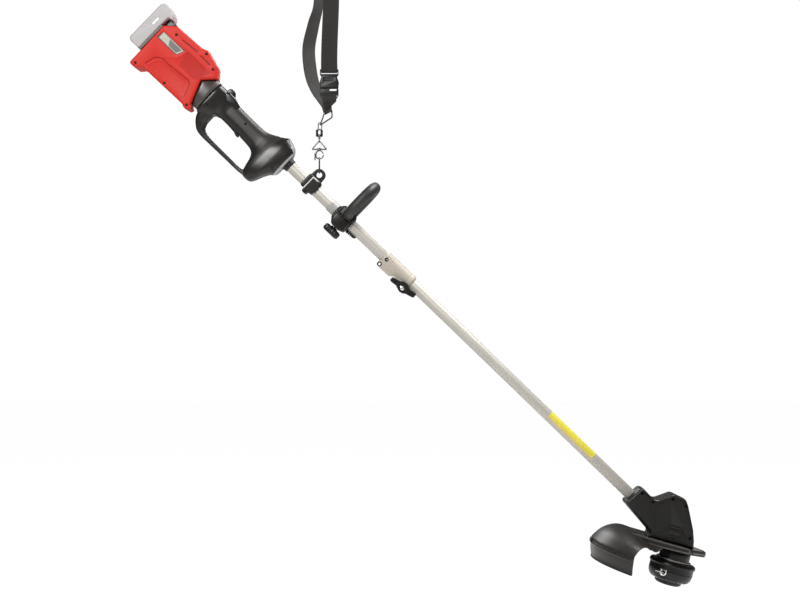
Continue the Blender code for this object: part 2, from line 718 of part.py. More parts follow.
def make_housing(frame, red):
    rear = housing_rear()
    outer = [(HALF_GAP, 0.0), (0.84, 0.0008), (0.955, 0.0024), (1.0, HOUSING_EDGE)]
    levels = [(max(share * HOUSING_REAR_HALF, HALF_GAP), inset) for share, inset in outer]
    inner = [(HALF_GAP, SHELL_WALL), (0.84 * HOUSING_REAR_HALF, SHELL_WALL + 0.0008),
             (HOUSING_REAR_HALF - SHELL_WALL, SHELL_WALL + HOUSING_EDGE - 0.001)]
    for name, side in (("right", -1), ("left", 1)):
        rings = crown_rings(housing_corners(), [(y * side, d) for y, d in inner[::-1]])
        rings += crown_rings(housing_corners(), [(y * side, d) for y, d in levels])
        shell = add(f"housing_{name}", tapered(rings), frame, red)
        deep = HOUSING_REAR_HALF - 0.0011
        wide = HOUSING_REAR_HALF + 0.02
        panel = crown_rings([
            (rear + 0.0300, -0.0620, 0.004), (rear + 0.0390, -0.0331, 0.010), (rear + 0.0550, -0.0228, 0.012),
            (rear + 0.1330, -0.0190, 0.006), (rear + 0.1480, -0.0330, 0.004), (rear + 0.1560, -0.0560, 0.004),
            (rear + 0.1500, -0.0640, 0.004),
        ], [(deep * side, 0.0012), (wide * side, 0.0)])
        facet = crown_rings([
            (rear + 0.0760, -0.0040, 0.003), (rear + 0.0900, -0.0125, 0.004), (rear + 0.1360, -0.0100, 0.003),
            (rear + 0.1430, 0.0020, 0.003), (rear + 0.1420, 0.0270, 0.004), (rear + 0.0850, 0.0290, 0.004),
        ], [(deep * side, 0.0010), (wide * side, 0.0)])
        cuts = [add(f"panel_{name}", tapered(panel), frame, cutter=True),
                add(f"facet_{name}", tapered(facet), frame, cutter=True)]
        for k, (start, end, height) in enumerate(((0.0510, 0.0935, 0.0376), (0.1100, 0.1375, 0.0376),
                                                  (0.0985, 0.1240, -0.0378))):
            corners = box_corners(rear + start, height - 0.0009, rear + end, height + 0.0009, 0.0008)
            slit = prism_rings(filleted(corners, 1), (deep - 0.0009) * side, wide * side)
            cuts.append(add(f"slit_{name}_{k}", tapered(slit), frame, cutter=True))
        if side < 0:
            for k, (x, z) in enumerate(SCREW_PLACES):
                face = housing_taper(rear + x)
                cuts.append(rod(f"well_{k}", -face - 0.01, -face + SHELL_WALL * 0.75, SCREW_WELL_RADIUS,
                                frame, centre=(rear + x, 0, z), sides=12, cutter=True))
        cut(shell, *cuts)


def rail_corners(neck, head, front, step, tip):
    """A T-shaped rail seen from above: a neck and a wider head behind it."""
    return [(front, -neck), (step, -neck), (step, -head), (tip, -head), (tip, head), (step, head),
            (step, neck), (front, neck)]


def make_battery(frame, slide, latch_frame, pale, black, steel_grey):
    rear = housing_rear()
    face = rear - RAIL_THICKNESS - SEAT_GAP
    back = face - PACK_THICKNESS
    rail_low, rail_high = PACK_LOW + 0.002, 0.0280
    rail = block("battery_rail", (rear - RAIL_THICKNESS, -0.0350, PACK_LOW),
                 (rear - SEAT_GAP, 0.0350, rail_high), frame, black)
    step, tip = face - 0.0030, face - 0.0070
    tongue = [Vector(c) for c in rail_corners(0.0200, 0.0250, rear - 0.001, step, tip)]
    join(rail, add("rail_tongue", prism_rings(tongue, rail_low, rail_high - 0.001, "XY"), frame, cutter=True))
    slot = [Vector(c) for c in rail_corners(0.0200 + RUN_GAP, 0.0250 + RUN_GAP, face + 0.01,
                                            step + RUN_GAP, tip - RUN_GAP)]
    channel = add("pack_channel", prism_rings(slot, PACK_LOW - 0.02, rail_high + SEAT_GAP, "XY"), slide,
                  cutter=True)
    outline = [
        (back, PACK_LOW, 0.007), (back, 0.0640, 0.010), (back + 0.0090, PACK_HIGH, 0.007),
        (face - 0.0040, 0.0708, 0.006), (face + 0.0050, 0.0635, 0.006), (face + 0.0105, 0.0520, 0.002),
        (face + 0.0010, 0.0512, 0.001), (face, 0.0450, 0.001), (face, PACK_LOW, 0.004),
    ]
    half = PACK_HALF_WIDTH
    levels = [(-half, 0.0045), (-half + 0.0015, 0.0020), (-half + 0.0045, 0.0), (half - 0.0045, 0.0),
              (half - 0.0015, 0.0020), (half, 0.0045)]
    parting = back + 0.0215
    hollow = [(-0.0340, -0.0430), (0.0340, 0.0580)]
    for name, cut_low, cut_high, inner in (
        ("battery_cover", parting - HALF_GAP, 2.0, (back + 0.0024, parting + 0.01)),
        ("battery_base", -2.0, parting + HALF_GAP, (parting - 0.01, back + 0.0240)),
    ):
        shell = add(name, crown_rings(outline, levels), slide, pale)
        away = block(f"{name}_away", (cut_low, -1, -1), (cut_high, 1, 1), slide, cutter=True)
        room = block(f"{name}_room", (inner[0], hollow[0][0], hollow[0][1]),
                     (inner[1], hollow[1][0], hollow[1][1]), slide, cutter=True)
        cut(shell, away, room)
        if name == "battery_base":
            cut(shell, channel)
        else:
            notch = prism("pack_notch", box_corners(-0.0115, 0.0060, 0.0115, 0.0120, 0.001), back - 0.01,
                          back + 0.0012, slide, plane="YZ", cutter=True)
            cut(shell, notch)
    cell_x = back + 0.0024 + SEAT_GAP + CELL_RADIUS + 0.0010
    first = -(CELL_COUNT - 1) / 2 * CELL_PITCH + 0.0075
    tray = block("battery_cells", (back + 0.0024 + SEAT_GAP, -CELL_TRAY_HALF, first - CELL_PITCH / 2),
                 (cell_x + CELL_RADIUS * 0.55, CELL_TRAY_HALF, first + CELL_PITCH * (CELL_COUNT - 0.5)),
                 slide, steel_grey)
    for k in range(CELL_COUNT):
        cell = rod(f"cell_{k}", -CELL_LENGTH / 2, CELL_LENGTH / 2, CELL_RADIUS, slide,
                   centre=(cell_x, 0, first + k * CELL_PITCH), sides=16, cutter=True)
        join(tray, cell)
    prism("battery_latch", [
        (face + 0.0010, 0.0303, 0.001), (face + 0.0010, 0.0500, 0.002), (face + 0.0120, 0.0500, 0.002),
    ], -0.0150, 0.0150, latch_frame, black)


def make_controller(frame, metal):
    rear = housing_rear()
    low = rear + SHELL_WALL + REAR_LEAN + SEAT_GAP
    length, half, floor, top = CONTROLLER_SIZE
    board = block("controller", (low, -half, floor), (low + length, half, top), frame, metal)
    for k in range(FIN_GAPS):
        y = (k - (FIN_GAPS - 1) / 2) * FIN_PITCH
        groove = block(f"fin_gap_{k}", (low + 0.010, y - FIN_PITCH / 4, top - 0.0120),
                       (low + length - 0.008, y + FIN_PITCH / 4, top + 0.01), frame, cutter=True)
        cut(board, groove)


# Neck and rear handle

def make_neck(frame, black):
    rear = housing_rear()
    tip = rear + 0.1495
    end = HANDLE_FRONT - HANDLE_LENGTH - SEAT_GAP
    gap = 0.0006
    corners = [
        (tip + gap, -0.0006, 0.002), (rear + 0.1700 + gap, -0.0555, 0.001), (end, -0.0570, 0.002),
        (end, 0.0255, 0.002), (rear + 0.1745 + gap * 1.6, 0.0262, 0.001),
    ]
    half = 0.0300
    levels = [(-half, 0.0060), (-half + 0.003, 0.0022), (-half + 0.010, 0.0), (half - 0.010, 0.0),
              (half - 0.003, 0.0022), (half, 0.0060)]
    collar = add("neck_collar", crown_rings(corners, levels), frame, black)
    hole = rod("neck_bore", rear, end + 0.02, 0.0110, frame, axis="X", centre=(0, 0, -0.008), sides=20,
               cutter=True)
    cut(collar, hole)


def handle_sections():
    """Sections of the grip body: station from its rear end, top, bottom, half width, squareness."""
    front = GRIP_HALF_WIDTH
    end = HANDLE_LENGTH
    return [
        (0.0000, 0.0235, -0.0580, 0.0270, 3.2), (0.0040, 0.0252, -0.0605, 0.0285, 3.2),
        (0.0160, 0.0255, -0.0600, 0.0270, 3.0), (0.0300, 0.0250, -0.0560, 0.0235, 2.8),
        (0.0400, 0.0235, -0.0380, front + 0.0015, 2.6), (0.0520, 0.0210, -0.0345, front, 2.5),
        (0.0700, 0.0182, -0.0335, front, 2.5), (end * 0.4557, 0.0172, -0.0330, front, 2.5),
        (end - 0.0950, 0.0176, -0.0350, front, 2.5), (end - 0.0810, 0.0200, -0.0395, front + 0.0010, 2.5),
        (end - 0.0730, 0.0235, -0.0520, front + 0.0030, 2.5),
        (end - 0.0660, 0.0270, -0.0780, front + 0.0055, 2.6),
        (end - 0.0610, 0.0300, -0.0900, front + 0.0075, 2.7), (end - 0.0510, 0.0350, -0.0935, 0.0290, 2.8),
        (end - 0.0370, 0.0448, -0.0925, 0.0310, 2.8), (end - 0.0290, 0.0440, -0.0850, 0.0315, 2.9),
        (end - 0.0190, 0.0405, -0.0620, 0.0310, 2.9), (end - 0.0110, 0.0370, -0.0480, 0.0300, 3.0),
        (end - 0.0040, 0.0300, -0.0420, 0.0270, 3.0), (end, 0.0230, -0.0370, 0.0235, 3.0),
    ]


def handle_bar_path():
    """The lower bar of the closed grip: station, height, half height and half width."""
    wide = LOOP_BAR_HALF_WIDTH
    end = HANDLE_LENGTH
    return [
        (0.0195, -0.0450, 0.0180, 0.0215), (0.0215, -0.0600, 0.0168, 0.0195),
        (0.0265, -0.0710, 0.0142, 0.0165), (0.0360, -0.0818, 0.0106, wide + 0.001),
        (0.0500, -0.0868, 0.0076, wide), (0.0700, -0.0884, 0.0060, wide),
        (end - 0.1070, -0.0888, 0.0052, wide), (end - 0.0770, -0.0890, 0.0050, wide + 0.001),
        (end - 0.0590, -0.0870, 0.0054, wide + 0.004),
    ]


def make_handle(frame, button_frame, trigger_frame, black, steel):
    rear, nose = HANDLE_FRONT - HANDLE_LENGTH, HANDLE_FRONT
    for name, side in (("right", -1), ("left", 1)):
        sections = [squared_ring(0, low, high, rear + x, half, power)
                    for x, high, low, half, power in handle_sections()]
        shell = add(f"handle_{name}", sections, frame, black)
        path = smooth_path(handle_bar_path(), 2)
        rings = []
        for i, value in enumerate(path):
            before, after = path[max(i - 1, 0)], path[min(i + 1, len(path) - 1)]
            ahead = Vector((after[0] - before[0], 0, after[1] - before[1])).normalized()
            up = Vector((-ahead.z, 0, ahead.x))
            ring = []
            for k in range(14):
                angle = 2 * math.pi * (k + 0.5) / 14
                c, s = math.cos(angle), math.sin(angle)
                y = math.copysign(abs(c) ** 0.7, c) * value[3]
                u = math.copysign(abs(s) ** 0.7, s) * value[2]
                ring.append(Vector((rear + value[0], y, value[1])) + up * u)
            rings.append(ring)
        bar = add(f"handle_bar_{name}", rings, frame, cutter=True)
        join(shell, bar)
        cuts = [half_space(f"handle_other_{name}", side, frame)]
        trigger_room = prism(f"trigger_room_{name}", box_corners(
            rear + 0.0478, -0.0500, rear + 0.1145, -0.0100, 0.002), -TRIGGER_HALF_WIDTH - 0.0005,
            TRIGGER_HALF_WIDTH + 0.0005, frame, cutter=True)
        switch_room = prism(f"switch_room_{name}", box_corners(
            rear + 0.0700, -0.0120, rear + 0.1000, 0.0085, 0.001), -0.0083, 0.0083, frame, cutter=True)
        button_room = prism(f"button_room_{name}", box_corners(
            rear + 0.0195, 0.0045, rear + 0.0425, 0.06, 0.002), -0.0115, 0.0115, frame, cutter=True)
        tube_room = rod(f"tube_room_{name}", HANDLE_FRONT - TUBE_TUCK - SEAT_GAP, HANDLE_FRONT + 0.02,
                        TUBE_RADIUS + SEAT_GAP, frame, axis="X", sides=24, cutter=True)
        front_room = prism(f"front_room_{name}", [
            (nose - 0.0550, -0.0780, 0.004), (nose - 0.0410, -0.0770, 0.004),
            (nose - 0.0290, -0.0520, 0.004), (nose - 0.0290, -0.0200, 0.003), (nose - 0.0590, -0.0200, 0.003),
        ], -0.0200, 0.0200, frame, cutter=True)
        rear_room = prism(f"rear_room_{name}", box_corners(
            rear - 0.0100, -0.0450, rear + 0.0150, 0.0080, 0.003), -0.0180, 0.0180, frame, cutter=True)
        cuts += [trigger_room, switch_room, button_room, tube_room, front_room, rear_room]
        pin_hole = rod(f"pin_room_{name}", -0.0150, 0.0150, 0.0015 + SEAT_GAP, frame,
                       centre=(rear + 0.0540, 0, -0.0200), sides=16, cutter=True)
        cuts.append(pin_hole)
        if side < 0:
            for k, (x, z) in enumerate(HANDLE_SCREWS):
                cuts.append(rod(f"handle_well_{k}", -0.04, -0.0100, SCREW_WELL_RADIUS, frame,
                                centre=(rear + x, 0, z), sides=12, cutter=True))
        cut(shell, *cuts)
    trigger = prism("trigger", [
        (rear + 0.0488, -0.0165, 0.003), (rear + 0.0600, -0.0150, 0.003), (rear + 0.1060, -0.0215, 0.003),
        (rear + 0.1110, -0.0290, 0.002), (rear + 0.1105, -0.0365, 0.002), (rear + 0.1055, -0.0363, 0.003),
        (rear + 0.0780, -0.0330, 0.020), (rear + 0.0500, -0.0325, 0.003),
    ], -TRIGGER_HALF_WIDTH, TRIGGER_HALF_WIDTH, trigger_frame, black)
    cut(trigger, rod("trigger_bore", -0.02, 0.02, 0.0015 + RUN_GAP, trigger_frame,
                     centre=(rear + 0.0540, 0, -0.0200), sides=16, cutter=True))
    rod("trigger_pin", -0.0148, 0.0148, 0.0015, frame, steel, centre=(rear + 0.0540, 0, -0.0200), sides=16)
    block("trigger_switch", (rear + 0.0703, -0.0080, -0.0100), (rear + 0.0997, 0.0080, 0.0082), frame, black)
    profile = [
        (rear + 0.0203, 0.0118, 0.001), (rear + 0.0417, 0.0118, 0.001), (rear + 0.0417, 0.0255, 0.003),
        (rear + 0.0360, 0.0318, 0.006), (rear + 0.0270, 0.0322, 0.006), (rear + 0.0203, 0.0285, 0.003),
    ]
    levels = [(-0.0110, 0.0018), (-0.0095, 0.0), (0.0095, 0.0), (0.0110, 0.0018)]
    add("lock_off_button", crown_rings(profile, levels), button_frame, black)


HANDLE_SCREWS = [(0.0105, -0.0330), (0.0290, -0.0750), (0.1050, -0.0020), (HANDLE_LENGTH - 0.0540, -0.0850),
                 (HANDLE_LENGTH - 0.0150, -0.0330), (HANDLE_LENGTH - 0.0170, 0.0260)]


def make_ferrule(frame, rubber):
    start = HANDLE_FRONT + SEAT_GAP
    inner = TUBE_RADIUS + SEAT_GAP
    turned("tube_ferrule", [
        (inner, start), (FERRULE_RADIUS + 0.0012, start), (FERRULE_RADIUS + 0.0012, start + 0.004),
        (FERRULE_RADIUS, start + 0.0055), (FERRULE_RADIUS, start + 0.0105), (inner, start + 0.0115),
    ], frame, rubber, axis="X", bored=True)


# Shaft, harness clamp and loop handle

def make_tubes(frame, lower, metal):
    start = HANDLE_FRONT - TUBE_TUCK
    joint = COUPLER_START + COUPLER_LENGTH * 0.5
    upper = pipe("upper_tube", start, joint - SEAT_GAP, TUBE_RADIUS, TUBE_RADIUS - TUBE_WALL, frame, metal)
    cut(upper, rod("tube_button_hole", -TUBE_RADIUS - 0.01, -TUBE_RADIUS * 0.4, BUTTON_RADIUS + RUN_GAP,
                   frame, centre=BUTTON_PLACE, sides=16, cutter=True))
    end = COUPLER_START + COUPLER_LENGTH + LOWER_TUBE_LENGTH + 0.045
    pipe("lower_tube", joint + SEAT_GAP, end, TUBE_RADIUS, TUBE_RADIUS - TUBE_WALL, lower, metal)


def make_harness_clamp(frame, black, steel):
    """A block round the tube with a flat ear on top that holds the eye."""
    half = CLAMP_LENGTH / 2
    back, front = -half - CLAMP_BACK, half - CLAMP_BACK
    ear = prism("harness_clamp", [
        (EYE_SHIFT.x - EYE_PLATE_RADIUS, EYE_SHIFT.z + EYE_PLATE_RADIUS, EYE_PLATE_RADIUS),
        (EYE_SHIFT.x - EYE_PLATE_RADIUS, 0.0120, 0.001),
        (EYE_SHIFT.x + EYE_PLATE_RADIUS, 0.0120, 0.001),
        (EYE_SHIFT.x + EYE_PLATE_RADIUS, EYE_SHIFT.z + EYE_PLATE_RADIUS, EYE_PLATE_RADIUS),
    ], -EYE_PLATE_THICKNESS / 2, EYE_PLATE_THICKNESS / 2, frame, black, steps=6)
    wide = CLAMP_HALF_WIDTH
    body = add("clamp_body", crown_rings([
        (back, -0.0125, 0.003), (back + 0.0110, -0.0160, 0.003), (back + 0.0190, -0.0225, 0.003),
        (front - 0.0080, -0.0215, 0.004), (front, -0.0130, 0.004), (front, 0.0160, 0.005),
        (front - 0.0060, 0.0185, 0.004), (back, 0.0185, 0.004),
    ], [(-wide, 0.0022), (-wide + 0.0022, 0.0), (wide - 0.0022, 0.0), (wide, 0.0022)]), frame, cutter=True)
    bore = rod("clamp_bore", back - 0.01, front + 0.01, TUBE_RADIUS + SEAT_GAP, frame, axis="X", sides=24,
               cutter=True)
    eye = rod("clamp_eye", -0.05, 0.05, EYE_RADIUS, frame, centre=EYE_SHIFT, sides=20, cutter=True)
    slit = block("clamp_slit", (back - 0.01, -0.0012, -0.05), (front + 0.01, 0.0012, -0.0080), frame,
                 cutter=True)
    groove = prism("clamp_groove", [
        (back - 0.01, -0.0105, 0.0005), (back + 0.0110, -0.0105, 0.0005), (back + 0.0110, 0.0110, 0.0005),
        (back + 0.0220, 0.0110, 0.0005), (back + 0.0220, 0.0134, 0.0005), (back + 0.0085, 0.0134, 0.0005),
        (back + 0.0085, -0.0080, 0.0005), (back - 0.01, -0.0080, 0.0005),
    ], -wide - 0.01, -wide + 0.0030, frame, steps=1, cutter=True)
    screw_hole = rod("clamp_screw_hole", -0.05, 0.05, 0.0025 + SEAT_GAP, frame, centre=(-0.001, 0, -0.0180),
                     sides=16, cutter=True)
    recess = rod("clamp_screw_recess", -0.05, -wide + 0.0042, 0.0046, frame, centre=(-0.001, 0, -0.0180),
                 sides=16, cutter=True)
    join(ear, body)
    cut(ear, bore, eye, slit, groove, screw_hole, recess)
    pipe("tube_spacer", SPACER_START, BRACKET_STATION - BRACKET_LENGTH / 2 - 0.001, TUBE_RADIUS + 0.0019,
         TUBE_RADIUS + SEAT_GAP, frame, steel)


def loop_path():
    """The loop handle's middle line: an upright superellipse round and above the tube."""
    points = []
    count = 24
    for k in range(count + 1):
        angle = math.radians(-62 + 304 * k / count)
        c, s = math.cos(angle), math.sin(angle)
        y = math.copysign(abs(c) ** 0.72, c) * LOOP_HALF_SPREAD
        z = math.copysign(abs(s) ** 0.72, s)
        middle = LOOP_HEIGHT * 0.52
        reach = LOOP_HEIGHT - middle if z > 0 else middle - 0.004
        points.append(Vector((LOOP_STATION, y, middle + z * reach)))
    return points


def make_loop_handle(frame, knob_frame, rubber, plastic, steel):
    half = BRACKET_LENGTH / 2
    path = loop_path()
    path[0] = Vector((LOOP_STATION, 0.0150, 0.0100))
    path[-1] = Vector((LOOP_STATION, -0.0150, 0.0100))
    path[1] = Vector((LOOP_STATION, 0.0300, 0.0125))
    path[-2] = Vector((LOOP_STATION, -0.0300, 0.0125))
    loop = add("loop_handle", tube_rings(path, LOOP_BAR_RADIUS, 14, across=(1, 0, 0)), frame, rubber)
    saddle = add("loop_saddle", crown_rings([
        (BRACKET_STATION - half, SEAT_GAP, 0.001), (BRACKET_STATION + half, SEAT_GAP, 0.001),
        (BRACKET_STATION + half, 0.0120, 0.004), (BRACKET_STATION + half - 0.0100, 0.0215, 0.005),
        (BRACKET_STATION - half + 0.0100, 0.0215, 0.005), (BRACKET_STATION - half, 0.0120, 0.004),
    ], [(-0.0245, 0.0015), (-0.0230, 0.0), (0.0230, 0.0), (0.0245, 0.0015)]), frame, cutter=True)
    bore = rod("saddle_bore", BRACKET_STATION - half - 0.02, BRACKET_STATION + half + 0.02,
               TUBE_RADIUS + SEAT_GAP, frame, axis="X", sides=24, cutter=True)
    under = block("saddle_under", (LOOP_STATION - 0.05, -0.09, -0.05), (LOOP_STATION + 0.05, 0.09, SEAT_GAP),
                  frame, cutter=True)
    join(loop, saddle)
    cut(loop, bore, under)
    low = -0.0305
    bracket = add("loop_bracket", crown_rings([
        (BRACKET_STATION - half, -SEAT_GAP, 0.001), (BRACKET_STATION + half, -SEAT_GAP, 0.001),
        (BRACKET_STATION + half, -0.0130, 0.005), (BRACKET_STATION + 0.0110, low + 0.0040, 0.005),
        (BRACKET_STATION + 0.0080, low, 0.002), (BRACKET_STATION - 0.0100, low, 0.002),
        (BRACKET_STATION - half, -0.0080, 0.006),
    ], [(-0.0245, 0.0020), (-0.0225, 0.0), (0.0225, 0.0), (0.0245, 0.0020)]), frame, plastic)
    bore_low = rod("bracket_bore", BRACKET_STATION - half - 0.02, BRACKET_STATION + half + 0.02,
                   TUBE_RADIUS + SEAT_GAP, frame, axis="X", sides=24, cutter=True)
    bolt_hole = rod("bracket_bolt_hole", -0.06, -TUBE_RADIUS, BOLT_RADIUS + SEAT_GAP, frame, axis="Z",
                    centre=(BRACKET_STATION, 0, 0), sides=16, cutter=True)
    cut(bracket, bore_low, bolt_hole)
    knob_top = -0.0335
    knob_low = knob_top - KNOB_THICKNESS
    turned("loop_bolt", [
        (BOLT_RADIUS, -0.0148), (BOLT_RADIUS, knob_low + 0.0040), (0.0026, knob_low + 0.0030),
    ], frame, steel, centre=(BRACKET_STATION, 0, 0), sides=16)
    count = 18
    shape = []
    for k in range(count * 3):
        angle = 2 * math.pi * k / (count * 3)
        radius = KNOB_RADIUS - 0.0012 * (1 if k % 3 == 0 else 0)
        shape.append((radius * math.cos(angle), radius * math.sin(angle)))
    rings = []
    centre = Vector((BRACKET_STATION, 0, 0))
    for height, share in ((knob_low, 0.86), (knob_low + 0.0020, 1.0), (knob_top - 0.0030, 1.0),
                          (knob_top - 0.0005, 0.84)):
        rings.append([centre + Vector((x * share, y * share, height)) for x, y in shape])
    knob = add("loop_knob", rings, knob_frame, plastic)
    hub = rod("knob_hub", knob_top - 0.002, low - SEAT_GAP, 0.0088, knob_frame, axis="Z", centre=centre,
              sides=20, cutter=True)
    hole = rod("knob_hole", knob_low + 0.0015, 0.01, BOLT_RADIUS + RUN_GAP, knob_frame, axis="Z",
               centre=centre, sides=16, cutter=True)
    join(knob, hub)
    cut(knob, hole)
    add("cable_clip", crown_rings([
        (BRACKET_STATION + half + SEAT_GAP, -TUBE_RADIUS - SEAT_GAP, 0.0005),
        (BRACKET_STATION + half + 0.0270, -TUBE_RADIUS - SEAT_GAP, 0.0005),
        (BRACKET_STATION + half + 0.0275, -TUBE_RADIUS - 0.0025, 0.001),
        (BRACKET_STATION + half + 0.0230, -TUBE_RADIUS - 0.0060, 0.002),
        (BRACKET_STATION + half + SEAT_GAP, -TUBE_RADIUS - 0.0085, 0.002),
    ], [(-0.0060, 0.0008), (-0.0050, 0.0), (0.0050, 0.0), (0.0060, 0.0008)]), frame, plastic)


# Coupling

def make_coupler(frame, wing_frame, button_frame, metal, plastic, steel):
    start, end = COUPLER_START, COUPLER_START + COUPLER_LENGTH
    outer, inner = SLEEVE_RADIUS, TUBE_RADIUS + SEAT_GAP
    sleeve = turned("coupler_sleeve", [
        (inner, start), (outer - 0.0022, start), (outer - 0.0004, start + 0.0025), (outer, start + 0.006),
        (outer, end - 0.030), (outer - 0.0006, end - 0.004), (outer - 0.0024, end), (inner, end),
    ], frame, metal, axis="X", bored=True)
    wide = 0.0115
    ear = add("coupler_ear", crown_rings([
        (start + 0.0010, -0.0120, 0.002), (start - 0.0010, -0.0210, 0.004), (start + 0.0040, -0.0278, 0.005),
        (start + 0.0370, -0.0275, 0.004), (start + 0.0440, -0.0210, 0.003), (end - 0.0380, -0.0205, 0.002),
        (end - 0.0330, -0.0285, 0.004), (end - 0.0090, -0.0285, 0.004), (end - 0.0030, -0.0200, 0.003),
        (end - 0.0020, -0.0120, 0.002),
    ], [(-wide, 0.0015), (-wide + 0.0015, 0.0), (wide - 0.0015, 0.0), (wide, 0.0015)]), frame, cutter=True)
    join(sleeve, ear)
    bore = rod("coupler_bore", start - 0.02, end + 0.02, inner, frame, axis="X", sides=24, cutter=True)
    split = block("coupler_split", (start - 0.02, -0.0012, -0.05), (end + 0.02, 0.0012, -0.0080), frame,
                  cutter=True)
    ring = rod("coupler_ring_hole", -0.05, 0.05, 0.0038, frame, centre=(start + 0.0045, 0, -0.0225),
               sides=16, cutter=True)
    button_hole = rod("coupler_button_hole", -0.05, -inner + 0.002, BUTTON_RADIUS + RUN_GAP, frame,
                      centre=BUTTON_PLACE, sides=20, cutter=True)
    clamp_hole = rod("coupler_clamp_hole", -0.05, 0.05, BOLT_RADIUS + SEAT_GAP, frame,
                     centre=(WING_STATION, 0, WING_HEIGHT), sides=12, cutter=True)
    cut(sleeve, bore, split, ring, button_hole, clamp_hole)
    for k in range(2):
        x = start + 0.0060 + k * 0.0110
        face = ((0, -0.03), (0.0016, -0.03), (0.0016, 0.03), (0, 0.03))
        groove = add(f"coupler_groove_{k}", [
            [Vector((x + shift + lean, y, 0.0090 + lean)) for shift, y in face]
            for lean in (0.0060, 0.0160)
        ], frame, cutter=True)
        cut(sleeve, groove)
    rod("coupler_button", -outer - 0.0012, -inner + SEAT_GAP, BUTTON_RADIUS, button_frame, steel,
        centre=BUTTON_PLACE, sides=20)
    seat = -wide - SEAT_GAP
    wing_inner = -outer - WING_CLEARANCE
    wing_outer = wing_inner - WING_THICKNESS
    reach = WING_SPAN / 2
    half_wing = [
        (reach, -0.0010, 0.002), (reach, -0.0078, 0.002), (reach - 0.0150, -0.0092, 0.004),
        (0.0090, -0.0112, 0.005), (-0.0060, -0.0112, 0.005), (-0.0180, -0.0048, 0.004),
    ]
    outline = [(WING_STATION + turn * x, WING_HEIGHT - turn * z, radius)
               for turn in (1, -1) for x, z, radius in half_wing]
    wing = add("clamp_wing", crown_rings(outline, [
        (wing_outer, 0.0010), (wing_outer + 0.0015, 0.0), (wing_inner - 0.0010, 0.0), (wing_inner, 0.0008),
    ]), wing_frame, plastic)
    centre = (WING_STATION, 0, WING_HEIGHT)
    hub = rod("wing_hub", wing_inner - 0.0020, seat, 0.0078, wing_frame, centre=centre, sides=20, cutter=True)
    hole = rod("wing_hole", -0.06, 0.06, BOLT_RADIUS + RUN_GAP, wing_frame, centre=centre, sides=12,
               cutter=True)
    recess = rod("wing_recess", -0.06, wing_outer + 0.0045, 0.0062, wing_frame, centre=centre, sides=16,
                 cutter=True)
    join(wing, hub)
    cut(wing, hole, recess)
    head = wing_outer + 0.0045 - SEAT_GAP
    turned("clamp_screw", [
        (BOLT_RADIUS, wide + 0.0035), (BOLT_RADIUS, head), (0.0056, head), (0.0056, wing_outer + 0.0015),
        (0.0044, wing_outer + 0.0005),
    ], frame, steel, axis="Y", centre=centre, sides=18)


BUTTON_PLACE = (COUPLER_START + 0.0090, 0, -0.0010)
WING_STATION = COUPLER_START + 0.0810
WING_HEIGHT = -0.0235


# Head

def head_corners():
    """The head housing seen from the side, from the tube socket round over the motor to the guard."""
    return [
        (-0.1546, 0.0648, 0.005), (-0.1235, 0.1105, 0.008), (-0.0905, 0.0905, 0.010),
        (-0.0800, 0.0922, 0.008), (-0.0495, 0.1135, 0.009), (-0.0155, 0.1070, 0.007),
        (-0.0072, 0.0945, 0.006), (0.0180, 0.0441, 0.008), (0.0262, 0.0200, 0.006),
        (0.0300, 0.0006, 0.002), (-0.0830, 0.0006, 0.003), (-0.0800, 0.0140, 0.006),
    ]


HEAD_SCREWS = [(-0.1200, 0.0960), (-0.0480, 0.1010), (-0.0150, 0.0930), (0.0130, 0.0240)]


